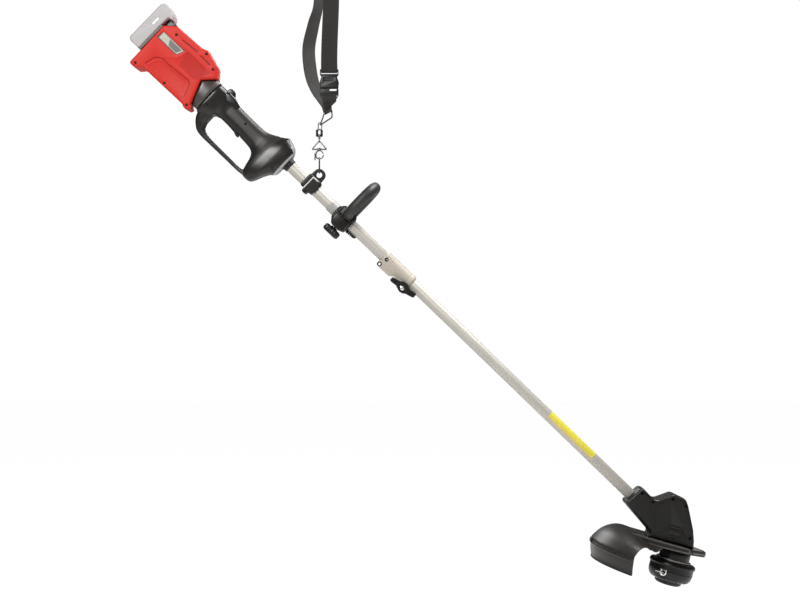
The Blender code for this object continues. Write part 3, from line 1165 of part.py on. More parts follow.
def make_head(frame, axis, rotor_frame, black, steel, copper):
    half = HEAD_HALF_WIDTH
    levels = [(HALF_GAP, 0.0), (half * 0.86, 0.0014), (half * 0.97, 0.0045), (half, 0.0075)]
    inner = [(HALF_GAP, SHELL_WALL), (half * 0.80, SHELL_WALL + 0.0010),
             (half - SHELL_WALL, SHELL_WALL + 0.0060)]
    along = Vector((math.cos(HEAD_TURN), 0, -math.sin(HEAD_TURN)))
    across = Vector((math.sin(HEAD_TURN), 0, math.cos(HEAD_TURN)))
    socket_x = across * HEAD_RISE - along * HEAD_REACH
    for name, side in (("right", -1), ("left", 1)):
        rings = crown_rings(head_corners(), [(y * side, d) for y, d in inner[::-1]])
        rings += crown_rings(head_corners(), [(y * side, d) for y, d in levels])
        shell = add(f"head_{name}", rings, frame, black)
        path = [socket_x + along * t for t in (-0.040, 0.055)]
        hole = add(f"socket_{name}", tube_rings(path, TUBE_RADIUS + SEAT_GAP, 24, across=(0, 1, 0)), frame,
                   cutter=True)
        spindle = rod(f"spindle_room_{name}", -0.01, 0.008, 0.0095, axis, axis="Z", sides=24, cutter=True)
        cuts = [hole, spindle]
        for k, (low, high, height) in enumerate(((-0.0370, -0.0100, 0.0430), (-0.0350, -0.0120, 0.0365),
                                                 (-0.0340, -0.0130, 0.0215), (-0.0320, -0.0140, 0.0150))):
            corners = box_corners(low, height - 0.0012, high, height + 0.0012, 0.001)
            cuts.append(prism(f"vent_{name}_{k}", corners, (half - 0.0014) * side, (half + 0.01) * side,
                              frame, steps=1, cutter=True))
        if side < 0:
            for k, (x, z) in enumerate(HEAD_SCREWS):
                cuts.append(rod(f"head_well_{k}", -half - 0.01, -half + SHELL_WALL * 0.8, SCREW_WELL_RADIUS,
                                frame, centre=(x, 0, z), sides=12, cutter=True))
        cut(shell, *cuts)
    base = SHELL_WALL + 0.0040
    pipe("lower_bearing", 0.0012, 0.0062, 0.0092, SPINDLE_RADIUS + RUN_GAP, axis, steel, axis="Z", sides=18)
    pipe("motor_stator", base, base + STATOR_HEIGHT, STATOR_RADIUS, 0.0105, axis, copper, axis="Z", sides=20)
    pipe("rotor", base + 0.0010, base + STATOR_HEIGHT - 0.0010, 0.0098, SPINDLE_RADIUS + SEAT_GAP,
         rotor_frame, steel, axis="Z", sides=18)


# Guard

def fan_profile():
    """The guard's section: radius and height of the outer face, from the deck to the rim."""
    face = [
        (0.2100, -0.0006), (0.4575, -0.0002), (0.5400, 0.0052), (0.6350, 0.0096), (0.7300, 0.0090),
        (0.8050, 0.0042), (0.8725, -0.0042), (0.9300, -0.0150), (0.9725, -0.0270), (1.0000, -0.0360),
        (1.0000, -GUARD_DROP),
    ]
    return [(share * GUARD_RADIUS, height) for share, height in face]


def end_fall(radius, share):
    """How far the fan's cheeks fall towards its ends; the middle and the rim stay level."""
    out = radius / GUARD_RADIUS
    middle = min(max((out - 0.275) / 0.275, 0), 1) * min(max((0.98 - out) / 0.30, 0), 1)
    return CHEEK_FALL * middle * abs(share) ** 2.2


def sector_rings(profile, spread, steps, fall=False):
    """A closed profile carried round the spindle, centred on the rear."""
    rings = []
    for k in range(steps + 1):
        share = 2 * k / steps - 1
        angle = math.pi + spread * share
        rings.append([
            Vector((r * math.cos(angle), r * math.sin(angle), z - (end_fall(r, share) if fall else 0)))
            for r, z in profile
        ])
    return rings


def inner_face(outer, thickness):
    """The outer face moved inwards by the sheet's thickness, in reverse order."""
    inner = []
    for i, point in enumerate(outer):
        before, after = outer[max(i - 1, 0)], outer[min(i + 1, len(outer) - 1)]
        ahead = Vector((after[0] - before[0], after[1] - before[1])).normalized()
        normal = Vector((-ahead.y, ahead.x))
        inner.append((point[0] - normal.x * thickness, point[1] - normal.y * thickness))
    return inner[::-1]


def make_guard(frame, black, steel):
    outer = fan_profile()
    profile = outer + inner_face(outer, GUARD_SHEET)
    guard = add("guard", sector_rings(profile, GUARD_SPREAD, GUARD_STEPS, True), frame, black)
    rim = GUARD_RADIUS
    wide, back = DECK_HALF_WIDTH, -rim * 0.50
    deck_corners = [
        (back, -wide, 0.010), (0.0180, -wide, 0.045), (DECK_FRONT, -0.0200, 0.022),
        (DECK_FRONT, 0.0200, 0.022), (0.0180, wide, 0.045), (back, wide, 0.010),
    ]
    deck = add("guard_deck", crown_rings(deck_corners, [
        (-0.0120, 0.0010), (-0.0010, 0.0), (0.0, 0.0010)], "XY", 5), frame, cutter=True)
    well = add("guard_well", crown_rings(deck_corners, [
        (-0.0300, 0.0030), (-DECK_THICKNESS, 0.0045)], "XY", 5), frame, cutter=True)
    cut(deck, well)
    join(guard, deck)
    for name, side in (("near", -1), ("far", 1)):
        inner, outer = side * (DECK_HALF_WIDTH - 0.0027), side * (DECK_HALF_WIDTH + 0.0065)
        ridge = prism(f"guard_ridge_{name}", [
            (-rim * 0.860, -0.0120, 0.001), (-rim * 0.760, 0.0010, 0.006), (-rim * 0.640, 0.0044, 0.006),
            (0.0150, 0.0020, 0.002), (0.0215, -0.0095, 0.002), (-rim * 0.25, -0.0112, 0.003),
            (-rim * 0.740, -0.0090, 0.001), (-rim * 0.855, -0.0180, 0.001),
        ], min(inner, outer), max(inner, outer), frame, cutter=True)
        low, high = side * (DECK_HALF_WIDTH + 0.0008), side * (DECK_HALF_WIDTH + 0.0038)
        groove = prism(f"ridge_groove_{name}", [
            (-rim * 0.80, 0.0200, 0.001), (-rim * 0.72, 0.0014, 0.003), (0.0100, -0.0006, 0.002),
            (0.0300, 0.0200, 0.001),
        ], min(low, high), max(low, high), frame, cutter=True)
        join(guard, ridge)
        cut(guard, groove)
    hole = rod("guard_hole", -0.05, 0.05, 0.0110, frame, axis="Z", centre=(-SPINDLE_BACK, 0, 0), sides=22,
               cutter=True)
    cut(guard, hole)
    top, low = -GUARD_DROP - SEAT_GAP, -GUARD_DROP - SKIRT_DEPTH
    skirt = [
        (rim - GUARD_SHEET, top), (rim + 0.0018, top), (rim + 0.0018, top - 0.0050),
        (rim - 0.0005, top - 0.0065), (rim - 0.0090, low + 0.004), (rim - 0.0085, low),
        (rim - 0.0125, low), (rim - 0.0118, low + 0.006), (rim - 0.0036, top - 0.0065),
    ]
    add("guard_skirt", sector_rings(skirt, GUARD_SPREAD, GUARD_STEPS), frame, black)
    blade_angle = math.pi - GUARD_SPREAD + math.radians(3)
    way = Vector((math.cos(blade_angle), math.sin(blade_angle), 0))
    side = Vector((-way.y, way.x, 0))
    inner = rim - 0.0125 - SEAT_GAP
    rings = []
    for height in (low + 0.0180, low + 0.0020):
        rings.append([way * inner + side * 0.0060 + Vector((0, 0, height)),
                      way * (inner - 0.0110) + side * 0.0060 + Vector((0, 0, height)),
                      way * (inner - 0.0130) + side * 0.0052 + Vector((0, 0, height)),
                      way * (inner - 0.0110) + side * 0.0044 + Vector((0, 0, height)),
                      way * inner + side * 0.0044 + Vector((0, 0, height))])
    add("line_cutter", rings, frame, steel)
    add("skirt_clip", [
        [Vector((-(rim + 0.0018 + SEAT_GAP + r), y, z)) for r, z in (
            (0, top + 0.0060), (0.0008, top + 0.0060), (0.0012, top + 0.0010), (0.0012, top - 0.0035),
            (0, top - 0.0045))]
        for y in (-0.0110, 0.0110)
    ], frame, black)


# Cutting head

def make_cutting_head(frame, bump_frame, black, steel, nylon, line_colour):
    rod("spindle", SPOOL_SPLIT + 0.0200, 0.0560, SPINDLE_RADIUS, frame, steel, axis="Z", sides=20)
    cover_profile = [
        (SPINDLE_RADIUS + SEAT_GAP, SPOOL_TOP), (NECK_RADIUS - 0.004, SPOOL_TOP),
        (NECK_RADIUS, SPOOL_TOP - 0.003), (NECK_RADIUS + 0.0005, SPOOL_TOP - 0.0150),
        (NECK_RADIUS + 0.0022, SPOOL_TOP - 0.0165),
        (NECK_RADIUS + 0.0022, SPOOL_TOP - 0.0190), (NECK_RADIUS - 0.0005, SPOOL_TOP - 0.0200),
        (SPOOL_RADIUS - 0.0100, SPOOL_TOP - 0.0250), (SPOOL_RADIUS - 0.0035, SPOOL_TOP - 0.0295),
        (SPOOL_RADIUS - 0.0005, SPOOL_TOP - 0.0360), (SPOOL_RADIUS, SPOOL_TOP - 0.0420),
        (SPOOL_RADIUS, SPOOL_SPLIT), (SPOOL_RADIUS - 0.003, SPOOL_SPLIT),
        (SPOOL_RADIUS - 0.0032, SPOOL_TOP - 0.0370), (0.0370, SPOOL_TOP - 0.0270),
        (0.0300, SPOOL_TOP - 0.0060),
        (SPINDLE_RADIUS + SEAT_GAP, SPOOL_TOP - 0.0060),
    ]
    cover = turned("spool_cover", cover_profile, frame, black, sides=26, bored=True)
    cap = turned("spool_cap", [
        (SPOOL_RADIUS - 0.003, SPOOL_SPLIT - SEAT_GAP), (SPOOL_RADIUS, SPOOL_SPLIT - SEAT_GAP),
        (SPOOL_RADIUS - 0.0012, SPOOL_SPLIT - 0.0080), (SPOOL_RADIUS - 0.0045, SPOOL_SPLIT - 0.0150),
        (SPOOL_RADIUS - 0.0110, SPOOL_SPLIT - 0.0210), (SPOOL_RADIUS - 0.0170, SPOOL_BOTTOM),
        (BUMP_RADIUS + RUN_GAP, SPOOL_BOTTOM),
        (BUMP_RADIUS + RUN_GAP, SPOOL_BOTTOM + 0.0035), (SPOOL_RADIUS - 0.0100, SPOOL_SPLIT - 0.0170),
        (SPOOL_RADIUS - 0.0048, SPOOL_SPLIT - 0.0080),
    ], frame, black, sides=26, bored=True)
    for k in range(2):
        angle = EYELET_ANGLE + math.pi * k
        way = Vector((math.cos(angle), math.sin(angle), 0))
        notch = add(f"eyelet_notch_{k}", tube_rings(
            [way * (SPOOL_RADIUS - 0.010) + Vector((0, 0, SPOOL_SPLIT)),
             way * (SPOOL_RADIUS + 0.010) + Vector((0, 0, SPOOL_SPLIT))],
            0.0047 + SEAT_GAP, 14, across=(0, 0, 1)), frame, cutter=True)
        cut(cover, notch)
        cut(cap, notch)
        outer, inner = SPOOL_RADIUS + 0.0016, SPOOL_RADIUS - 0.0060
        level = Vector((0, 0, SPOOL_SPLIT))
        eyelet = add(f"eyelet_{k + 1}", tube_rings([way * inner + level, way * outer + level], 0.0047, 14,
                                                   across=(0, 0, 1)), frame, steel)
        hole = add(f"eyelet_hole_{k}", tube_rings(
            [way * (inner - 0.01) + level, way * (outer + 0.01) + level], 0.0026, 12, across=(0, 0, 1),
        ), frame, cutter=True)
        cut(eyelet, hole)
        drop = Vector((0, 0, SPOOL_SPLIT - 0.0026 + LINE_RADIUS + SEAT_GAP))
        add(f"line_end_{k + 1}", tube_rings([way * (inner + 0.001) + drop, way * (outer + LINE_STUB) + drop],
                                            LINE_RADIUS, 10, across=(0, 0, 1)), frame, line_colour)
    winding = 0.0300
    turned("line_spool", [
        (0.0200, SPOOL_SPLIT + 0.0130), (winding, SPOOL_SPLIT + 0.0130), (winding, SPOOL_SPLIT + 0.0110),
        (0.0290, SPOOL_SPLIT + 0.0110), (0.0290, SPOOL_SPLIT - 0.0110), (winding, SPOOL_SPLIT - 0.0110),
        (winding, SPOOL_SPLIT - 0.0130), (0.0200, SPOOL_SPLIT - 0.0130),
    ], bump_frame, nylon, sides=20, bored=True)
    turned("bump_knob", [
        (0.0080, BUMP_BOTTOM + 0.0040), (0.0080, SPOOL_SPLIT - 0.0160), (0.0197, SPOOL_SPLIT - 0.0160),
        (0.0197, SPOOL_SPLIT - 0.0133), (0.0280, SPOOL_SPLIT - 0.0133), (BUMP_RADIUS, SPOOL_SPLIT - 0.0190),
        (BUMP_RADIUS, BUMP_BOTTOM + 0.0070), (BUMP_RADIUS - 0.0025, BUMP_BOTTOM + 0.0025),
        (BUMP_RADIUS - 0.0080, BUMP_BOTTOM), (0.0040, BUMP_BOTTOM),
    ], bump_frame, black, sides=22)


EYELET_ANGLE = math.radians(239)


def build():
    clear_scene()
    red = finish("red_housing", (0.62, 0.03, 0.02), 0.38)
    black = finish("black_plastic", (0.022, 0.022, 0.023), 0.42)
    soft_black = finish("soft_black", (0.018, 0.018, 0.019), 0.62)
    pale = finish("pale_plastic", (0.72, 0.72, 0.73), 0.40)
    fabric = finish("webbing", (0.015, 0.015, 0.016), 0.85)
    chrome = finish("chromed_wire", (0.75, 0.75, 0.76), 0.16, 1.0)
    steel = finish("steel", (0.55, 0.55, 0.56), 0.30, 1.0)
    metal = finish("anodised_tube", (0.70, 0.69, 0.64), 0.34, 1.0)
    copper = finish("copper_winding", (0.60, 0.28, 0.12), 0.40, 1.0)
    nylon = finish("spool_plastic", (0.06, 0.06, 0.065), 0.50)
    line = finish("cutting_line", (0.70, 0.70, 0.66), 0.45)

    world = Frame("hang_point", None)
    make_webbing(world, fabric)
    make_buckle(world, black)
    ring_frame = pivot("strap_ring_swing", world, RING_BAR)
    make_strap_ring(ring_frame, chrome)
    make_swivel(ring_frame, chrome)
    hook_frame = pivot("swivel_turn", ring_frame, (0, 0, SWIVEL_LOW))
    gate_frame = pivot("snap_gate_swing", hook_frame, GATE_PLACE)
    make_hook(hook_frame, gate_frame, chrome)

    tool = Frame("tool_tilt", None, (0, 0, -HANG_DROP), SHAFT_SLOPE)
    tool.empty.parent = hook_frame.empty
    tool.empty.location = Vector((0, 0, -HANG_DROP)) - hook_frame.shift
    tool.shift = HINGE
    slide = pivot("battery_slide", tool, (housing_rear(), 0, 0))
    latch_frame = pivot("battery_latch_press", tool, (housing_rear(), 0, 0.040))
    make_housing(tool, red)
    make_battery(tool, slide, latch_frame, pale, black, steel)
    make_controller(tool, steel)
    make_neck(tool, soft_black)
    rear = HANDLE_FRONT - HANDLE_LENGTH
    button_frame = pivot("lock_off_press", tool, (rear + 0.0310, 0, 0.0200))
    trigger_frame = pivot("trigger_squeeze", tool, (rear + 0.0540, 0, -0.0200))
    make_handle(tool, button_frame, trigger_frame, black, steel)
    make_ferrule(tool, soft_black)

    lower = pivot("shaft_pull_out", tool, (COUPLER_START + COUPLER_LENGTH, 0, 0))
    make_tubes(tool, lower, metal)
    make_harness_clamp(tool, black, steel)
    loop_frame = pivot("loop_handle_slide", tool, (BRACKET_STATION, 0, 0))
    knob_frame = pivot("loop_knob_turn", loop_frame, (BRACKET_STATION, 0, -0.0425))
    make_loop_handle(loop_frame, knob_frame, soft_black, black, steel)
    wing_frame = pivot("clamp_wing_turn", tool, (WING_STATION, 0, WING_HEIGHT))
    press_frame = pivot("coupler_button_press", tool, BUTTON_PLACE)
    make_coupler(tool, wing_frame, press_frame, metal, black, steel)

    head_x = COUPLER_START + COUPLER_LENGTH + LOWER_TUBE_LENGTH + HEAD_REACH
    head = Frame("head_place", lower, (head_x, 0, -HEAD_RISE), -HEAD_TURN)
    axis = Frame("spindle_axis", head, (-SPINDLE_BACK, 0, 0))
    spin = pivot("cutting_head_spin", axis, (0, 0, SPOOL_TOP))
    make_head(head, axis, spin, black, steel, copper)
    make_guard(head, black, steel)
    bump = pivot("bump_knob_press", spin, (0, 0, BUMP_BOTTOM))
    make_cutting_head(spin, bump, black, steel, nylon, line)


# The wire bears on the top of the eye, so the hinge lies above the eye's centre when the tool hangs
EYE_TO_HINGE = EYE_RADIUS - WIRE_RADIUS - 0.0010
EYE_SHIFT = Vector((-EYE_BACK, 0.0, EYE_HEIGHT))
HINGE = EYE_SHIFT + Vector((-math.sin(SHAFT_SLOPE), 0, math.cos(SHAFT_SLOPE))) * EYE_TO_HINGE
GATE_PLACE = Vector((SNAP_RADIUS * 0.34, 0, SNAP_CENTRE - 0.0045 + SNAP_RADIUS * 0.94))

build()
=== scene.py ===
import math

import bmesh
import bpy
import numpy as np
from mathutils import Matrix, Vector


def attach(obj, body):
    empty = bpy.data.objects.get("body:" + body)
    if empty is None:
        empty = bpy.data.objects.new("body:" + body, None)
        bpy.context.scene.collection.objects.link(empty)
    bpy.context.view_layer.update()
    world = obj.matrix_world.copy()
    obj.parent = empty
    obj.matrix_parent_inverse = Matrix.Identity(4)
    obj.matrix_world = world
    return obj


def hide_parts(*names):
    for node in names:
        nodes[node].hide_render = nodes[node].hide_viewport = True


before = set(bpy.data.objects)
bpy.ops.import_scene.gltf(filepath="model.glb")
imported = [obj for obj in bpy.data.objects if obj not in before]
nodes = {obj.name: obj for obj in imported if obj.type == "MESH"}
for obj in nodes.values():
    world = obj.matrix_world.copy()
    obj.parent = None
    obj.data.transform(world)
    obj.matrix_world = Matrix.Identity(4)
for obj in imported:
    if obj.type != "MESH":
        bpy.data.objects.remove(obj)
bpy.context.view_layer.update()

# Places that the CAD model has too, in metres
slope = math.radians(44)
headTurn = math.radians(29)
hangDrop = 0.66
eyeRise = 0.0067 - 0.0014 - 0.001
hinge = Vector((-0.003 - math.sin(slope) * eyeRise, 0, 0.032 + math.cos(slope) * eyeRise))
shaftPlace = (
    Matrix.Translation((0, 0, -hangDrop)) @ Matrix.Rotation(slope, 4, "Y") @ Matrix.Translation(-hinge)
)
headPlace = shaftPlace @ Matrix.Translation((1.198, 0, -0.0051)) @ Matrix.Rotation(-headTurn, 4, "Y")
spinPlace = headPlace @ Matrix.Translation((-0.0035, 0, 0))
housingRear = -0.4984
handleRear = -0.312
couplerStart = 0.238


# Shader arithmetic: each instance is one output of a node tree

def plug(tree, socket, value):
    if isinstance(value, Flow):
        tree.links.new(value.out, socket)
    elif socket.type == "RGBA":
        socket.default_value = (*value, 1)
    else:
        socket.default_value = value


class Flow:
    def __init__(self, tree, out):
        self.tree = tree
        self.out = out

    def node(self, kind, settings, sockets, pick=0):
        made = self.tree.nodes.new(kind)
        for name, value in settings.items():
            setattr(made, name, value)
        for name, value in sockets.items():
            plug(self.tree, made.inputs[name], value)
        return Flow(self.tree, made.outputs[pick])

    def maths(self, operation, *values):
        return self.node("ShaderNodeMath", {"operation": operation}, dict(enumerate(values)))

    def __add__(self, other):
        return self.maths("ADD", self, other)

    def __radd__(self, other):
        return self.maths("ADD", other, self)

    def __sub__(self, other):
        return self.maths("SUBTRACT", self, other)

    def __rsub__(self, other):
        return self.maths("SUBTRACT", other, self)

    def __mul__(self, other):
        return self.maths("MULTIPLY", self, other)

    def __rmul__(self, other):
        return self.maths("MULTIPLY", other, self)

    def sine(self):
        return self.maths("SINE", self)

    def size(self):
        return self.maths("ABSOLUTE", self)

    def largest(self, other):
        return self.maths("MAXIMUM", self, other)

    def part(self, axis):
        return self.node("ShaderNodeSeparateXYZ", {}, {0: self}, "XYZ".index(axis))

    def placed(self, matrix):  # world coordinates seen from a place on the object
        turn = matrix.to_euler()
        return self.node("ShaderNodeMapping", {"vector_type": "TEXTURE"},
                         {"Vector": self, "Location": matrix.translation, "Rotation": turn})

    def stretched(self, *scale):
        return self.node("ShaderNodeVectorMath", {"operation": "MULTIPLY"}, {0: self, 1: scale})

    def noise(self, scale, detail=2.0, rough=0.5):
        return self.node("ShaderNodeTexNoise", {},
                         {"Vector": self, "Scale": scale, "Detail": detail, "Roughness": rough})

    def step(self, low, high):  # smooth from 0 at low to 1 at high
        return self.node("ShaderNodeMapRange", {"interpolation_type": "SMOOTHSTEP"},
                         {"Value": self, "From Min": low, "From Max": high})

    def band(self, low, high, fall, end):  # rises from low to high, falls from fall to end
        return self.step(low, high) * (1 - self.step(fall, end))

    def mix(self, one, two):  # colours, by this share of the second
        return self.node("ShaderNodeMix", {"data_type": "RGBA"}, {0: self, 6: one, 7: two}, 2)

    def bump(self, depth, strength):
        return self.node("ShaderNodeBump", {}, {"Height": self, "Distance": depth, "Strength": strength})


def newMaterial(name, constants):
    material = bpy.data.materials.new(name)
    material.use_nodes = True
    tree = material.node_tree
    shader = tree.nodes["Principled BSDF"]
    for key, value in constants.items():
        plug(tree, shader.inputs[key], value)
    place = tree.nodes.new("ShaderNodeTexCoord")
    return material, shader, Flow(tree, place.outputs["Object"])


def wire(shader, **flows):
    for key, value in flows.items():
        plug(shader.id_data, shader.inputs[key.replace("_", " ")], value)


def shades(colour, low, high):
    return tuple(c * low for c in colour), tuple(min(c * high, 1) for c in colour)


# Moulded plastic: clouds in the colour, a fine spark-eroded grain and faint rubbed patches
def plastic(name, colour, rough, grain=0.5, cloudiness=0.1, constants=None):
    material, shader, point = newMaterial(name, {"IOR": 1.48, **(constants or {})})
    cloud = point.noise(22, 3)
    fine = point.noise(1500, 2, 0.6)
    rubbed = point.noise(130, 4, 0.65).step(0.56, 0.74)
    dark, light = shades(colour, 1 - cloudiness, 1 + cloudiness)
    tone = (cloud * 0.75 + rubbed * 0.25).mix(dark, light)
    wire(shader, Base_Color=tone, Roughness=rough - 0.06 + cloud * 0.1 + fine * 0.05 - rubbed * 0.05,
         Normal=fine.bump(0.000012, grain))
    return material


# Bright metal: long fine scratches one way, smudges in the roughness
def metal(name, colour, rough, along=(1, 1, 1)):
    material, shader, point = newMaterial(name, {"Metallic": 1.0})
    smudge = point.noise(60, 3)
    scratch = point.stretched(*along).noise(900, 2, 0.7)
    dark, light = shades(colour, 0.88, 1.06)
    wire(shader, Base_Color=smudge.mix(dark, light),
         Roughness=rough + (smudge - 0.5) * 0.1 + (scratch - 0.5) * 0.06,
         Normal=scratch.bump(0.000008, 0.25))
    return material


# The tubes: pale paint over drawn metal, and a worn yellow band with an uneven white and orange border
def tubePaint(name, banded):
    material, shader, point = newMaterial(name, {"Specular IOR Level": 0.35})
    local = point.placed(shaftPlace)
    drawn = local.stretched(0.02, 1, 1).noise(700, 2, 0.6)
    cloud = point.noise(16, 3)
    tone = (cloud * 0.8 + drawn * 0.2).mix((0.375, 0.355, 0.315), (0.465, 0.442, 0.398))
    metallic = 0.1 + cloud * 0.08
    if banded:
        along, up = local.part("X"), local.part("Z")
        ragged = (local.noise(260, 3) - 0.5) * 0.004
        inside = (along + ragged).band(0.7685, 0.77, 0.9095, 0.911)
        side = (up + ragged).step(-0.0046, -0.0026)
        label = inside * side
        border = label * (1 - (up + ragged).step(-0.003, 0.0002))
        ink = local.noise(90, 3).mix((0.6, 0.535, 0.04), (0.68, 0.61, 0.08))
        tone = label.mix(tone, ink)
        tone = border.mix(tone, (0.66, 0.38, 0.18))
        metallic = metallic * (1 - label)
    wire(shader, Base_Color=tone, Metallic=metallic, Roughness=0.42 + cloud * 0.08 + drawn * 0.06,
         Normal=drawn.bump(0.000005, 0.1))
    return material


# The red shell: the housing's facets beside the plate, rougher and painted darker as painted shade; painted
# shade in the deep slits and a painted shade line along the panels' lips
def redShell(name):
    material, shader, point = newMaterial(name, {"IOR": 1.45, "Specular IOR Level": 0.22})
    local = point.placed(shaftPlace)
    along, up = local.part("X"), local.part("Z")
    cloud = point.noise(18, 3)
    fine = point.noise(1700, 2, 0.6)
    # the facets beside the plate: rougher, and painted darker as painted shade for the lesser light on them
    facet = ((along + up * 0.25).step(-0.413, -0.41) * (1 - (along - up * 0.35).step(-0.356, -0.35))
             * up.band(-0.015, -0.0085, 0.024, 0.0262))
    half = 0.041 - (along - housingRear) * (0.007 / 0.1734)  # the housing's half width, as below
    deep = half - local.part("Y").size()
    # painted shade: the deep slits are painted almost black, standing in for the shade inside them
    low = (deep.step(0.0014, 0.0022) * up.band(0.03, 0.031, 0.044, 0.045)
           * along.band(-0.45, -0.446, -0.354, -0.352))
    tone = (cloud * 0.8 + fine * 0.2).mix((0.47, 0.019, 0.012), (0.56, 0.026, 0.017))
    tone = (facet * 0.45).mix(tone, (0.3, 0.01, 0.009))
    tone = (low * 0.9).mix(tone, (0.05, 0.003, 0.003))
    # painted shade: a dark line painted along the recessed panels' lips, where shade falls at the step
    lipShade = (deep.band(0.0003, 0.0005, 0.0009, 0.001) * up.band(-0.0635, -0.0625, -0.019, -0.018)
            * along.band(-0.471, -0.47, -0.35, -0.349))
    tone = (lipShade * 0.75).mix(tone, (0.2, 0.007, 0.006))
    wire(shader, Base_Color=tone, Roughness=0.42 + cloud * 0.08 + facet * 0.08,
         Normal=fine.bump(0.00001, 0.3))
    return material


# Rear handle: glossy black, with the pale lip round its nose and a duller rubber overlay along the grip
def handleSkin(name):
    material, shader, point = newMaterial(name, {"IOR": 1.45, "Specular IOR Level": 0.42})
    local = point.placed(shaftPlace)
    along, up = local.part("X"), local.part("Z")
    cloud = point.noise(26, 3)
    fine = point.noise(1500, 2, 0.6)
    front = along.step(-0.0802, -0.0792)
    top = (along * 0.489 + up * 0.872).step(-0.0168, -0.0156) * along.step(-0.11, -0.108)
    low = (along * 0.78 - up * 0.62).step(-0.036, -0.035) * along.step(-0.096, -0.092)
    lip = front.largest(top).largest(low)
    overlay = (along.step(-0.26, -0.256) * (1 - (along - up * 0.21).step(-0.13, -0.128))
               * (up + along * 0.05).step(-0.027, -0.025))
    seam = overlay * (1 - overlay) * 4
    tone = (cloud * 0.8 + fine * 0.2).mix((0.01, 0.0088, 0.0078), (0.02, 0.0175, 0.0155))
    tone = overlay.mix(tone, (0.021, 0.0185, 0.0165))
    tone = lip.mix(tone, (0.36, 0.355, 0.35))
    wire(shader, Base_Color=tone, Roughness=0.25 + cloud * 0.08 + overlay * 0.13 + lip * 0.1,
         Normal=(fine * (0.3 + overlay * 0.4) - seam * 12).bump(0.000012, 0.3))
    return material


# The bare rating plate: brushed, with a dark frame and two blank fields
def plateFace(name):
    material, shader, point = newMaterial(name, {"Specular IOR Level": 0.3})
    local = point.placed(shaftPlace)
    along, up = local.part("X"), local.part("Z")
    brushed = local.stretched(0.05, 1, 1).noise(1500, 2, 0.7)
    cloud = point.noise(120, 3)
    inside = (along.step(-0.4865, -0.485) * (1 - (along - up * 0.45).step(-0.4325, -0.431))
              * up.band(0.0022, 0.0032, 0.0188, 0.0198))
    field = ((along + up * 0.5).step(-0.456, -0.4545) * (1 - (along - up * 0.45).step(-0.435, -0.434))
             * up.band(0.0035, 0.0042, 0.0175, 0.0182))
    stripe = (up * (2 * math.pi / 0.0042)).sine().step(0.55, 0.75) * (1 - along.step(-0.46, -0.459))
    tone = cloud.mix((0.33, 0.34, 0.28), (0.47, 0.48, 0.41))
    tone = (stripe * 0.7).mix(tone, (0.13, 0.14, 0.1))
    tone = (field * 0.85).mix(tone, (0.075, 0.075, 0.072))
    tone = inside.mix((0.05, 0.04, 0.04), tone)
    wire(shader, Base_Color=tone, Metallic=0.15 * inside, Roughness=0.44 + brushed * 0.1,
         Normal=brushed.bump(0.00002, 0.3))
    return material


# Webbing: ribs along the strap, crossed by picks that alternate from rib to rib
def webWeave(name):
    material, shader, point = newMaterial(name, {"Sheen Weight": 0.08, "Sheen Roughness": 0.45, "IOR": 1.4})
    uv = point.node("ShaderNodeUVMap", {"uv_map": "cloth"}, {})
    across, along = uv.part("X"), uv.part("Y")
    rib = (across * (math.pi / 0.0019)).sine().size()
    half = (across * (math.pi / 0.0038)).sine()
    pick = (along * (2 * math.pi / 0.0021) + half.step(-0.02, 0.02) * math.pi).sine()
    height = rib * 0.6 + pick * rib * 0.4
    hair = point.noise(2600, 2, 0.7)
    cloud = point.noise(28, 3)
    edge = across.size().step(0.0165, 0.0185)
    # painted shade: the weave's raised threads are painted lighter and its low places darker, mixed with
    # random cloud tone
    tone = (height.step(-0.1, 0.9) * 0.7 + cloud * 0.3).mix((0.0075, 0.0062, 0.0052), (0.026, 0.022, 0.019))
    tone = (edge * 0.5).mix(tone, (0.04, 0.036, 0.032))
    wire(shader, Base_Color=tone, Roughness=0.78 - height * 0.12 + hair * 0.08,
         Normal=(height + hair * 0.15).bump(0.00028, 0.55))
    return material


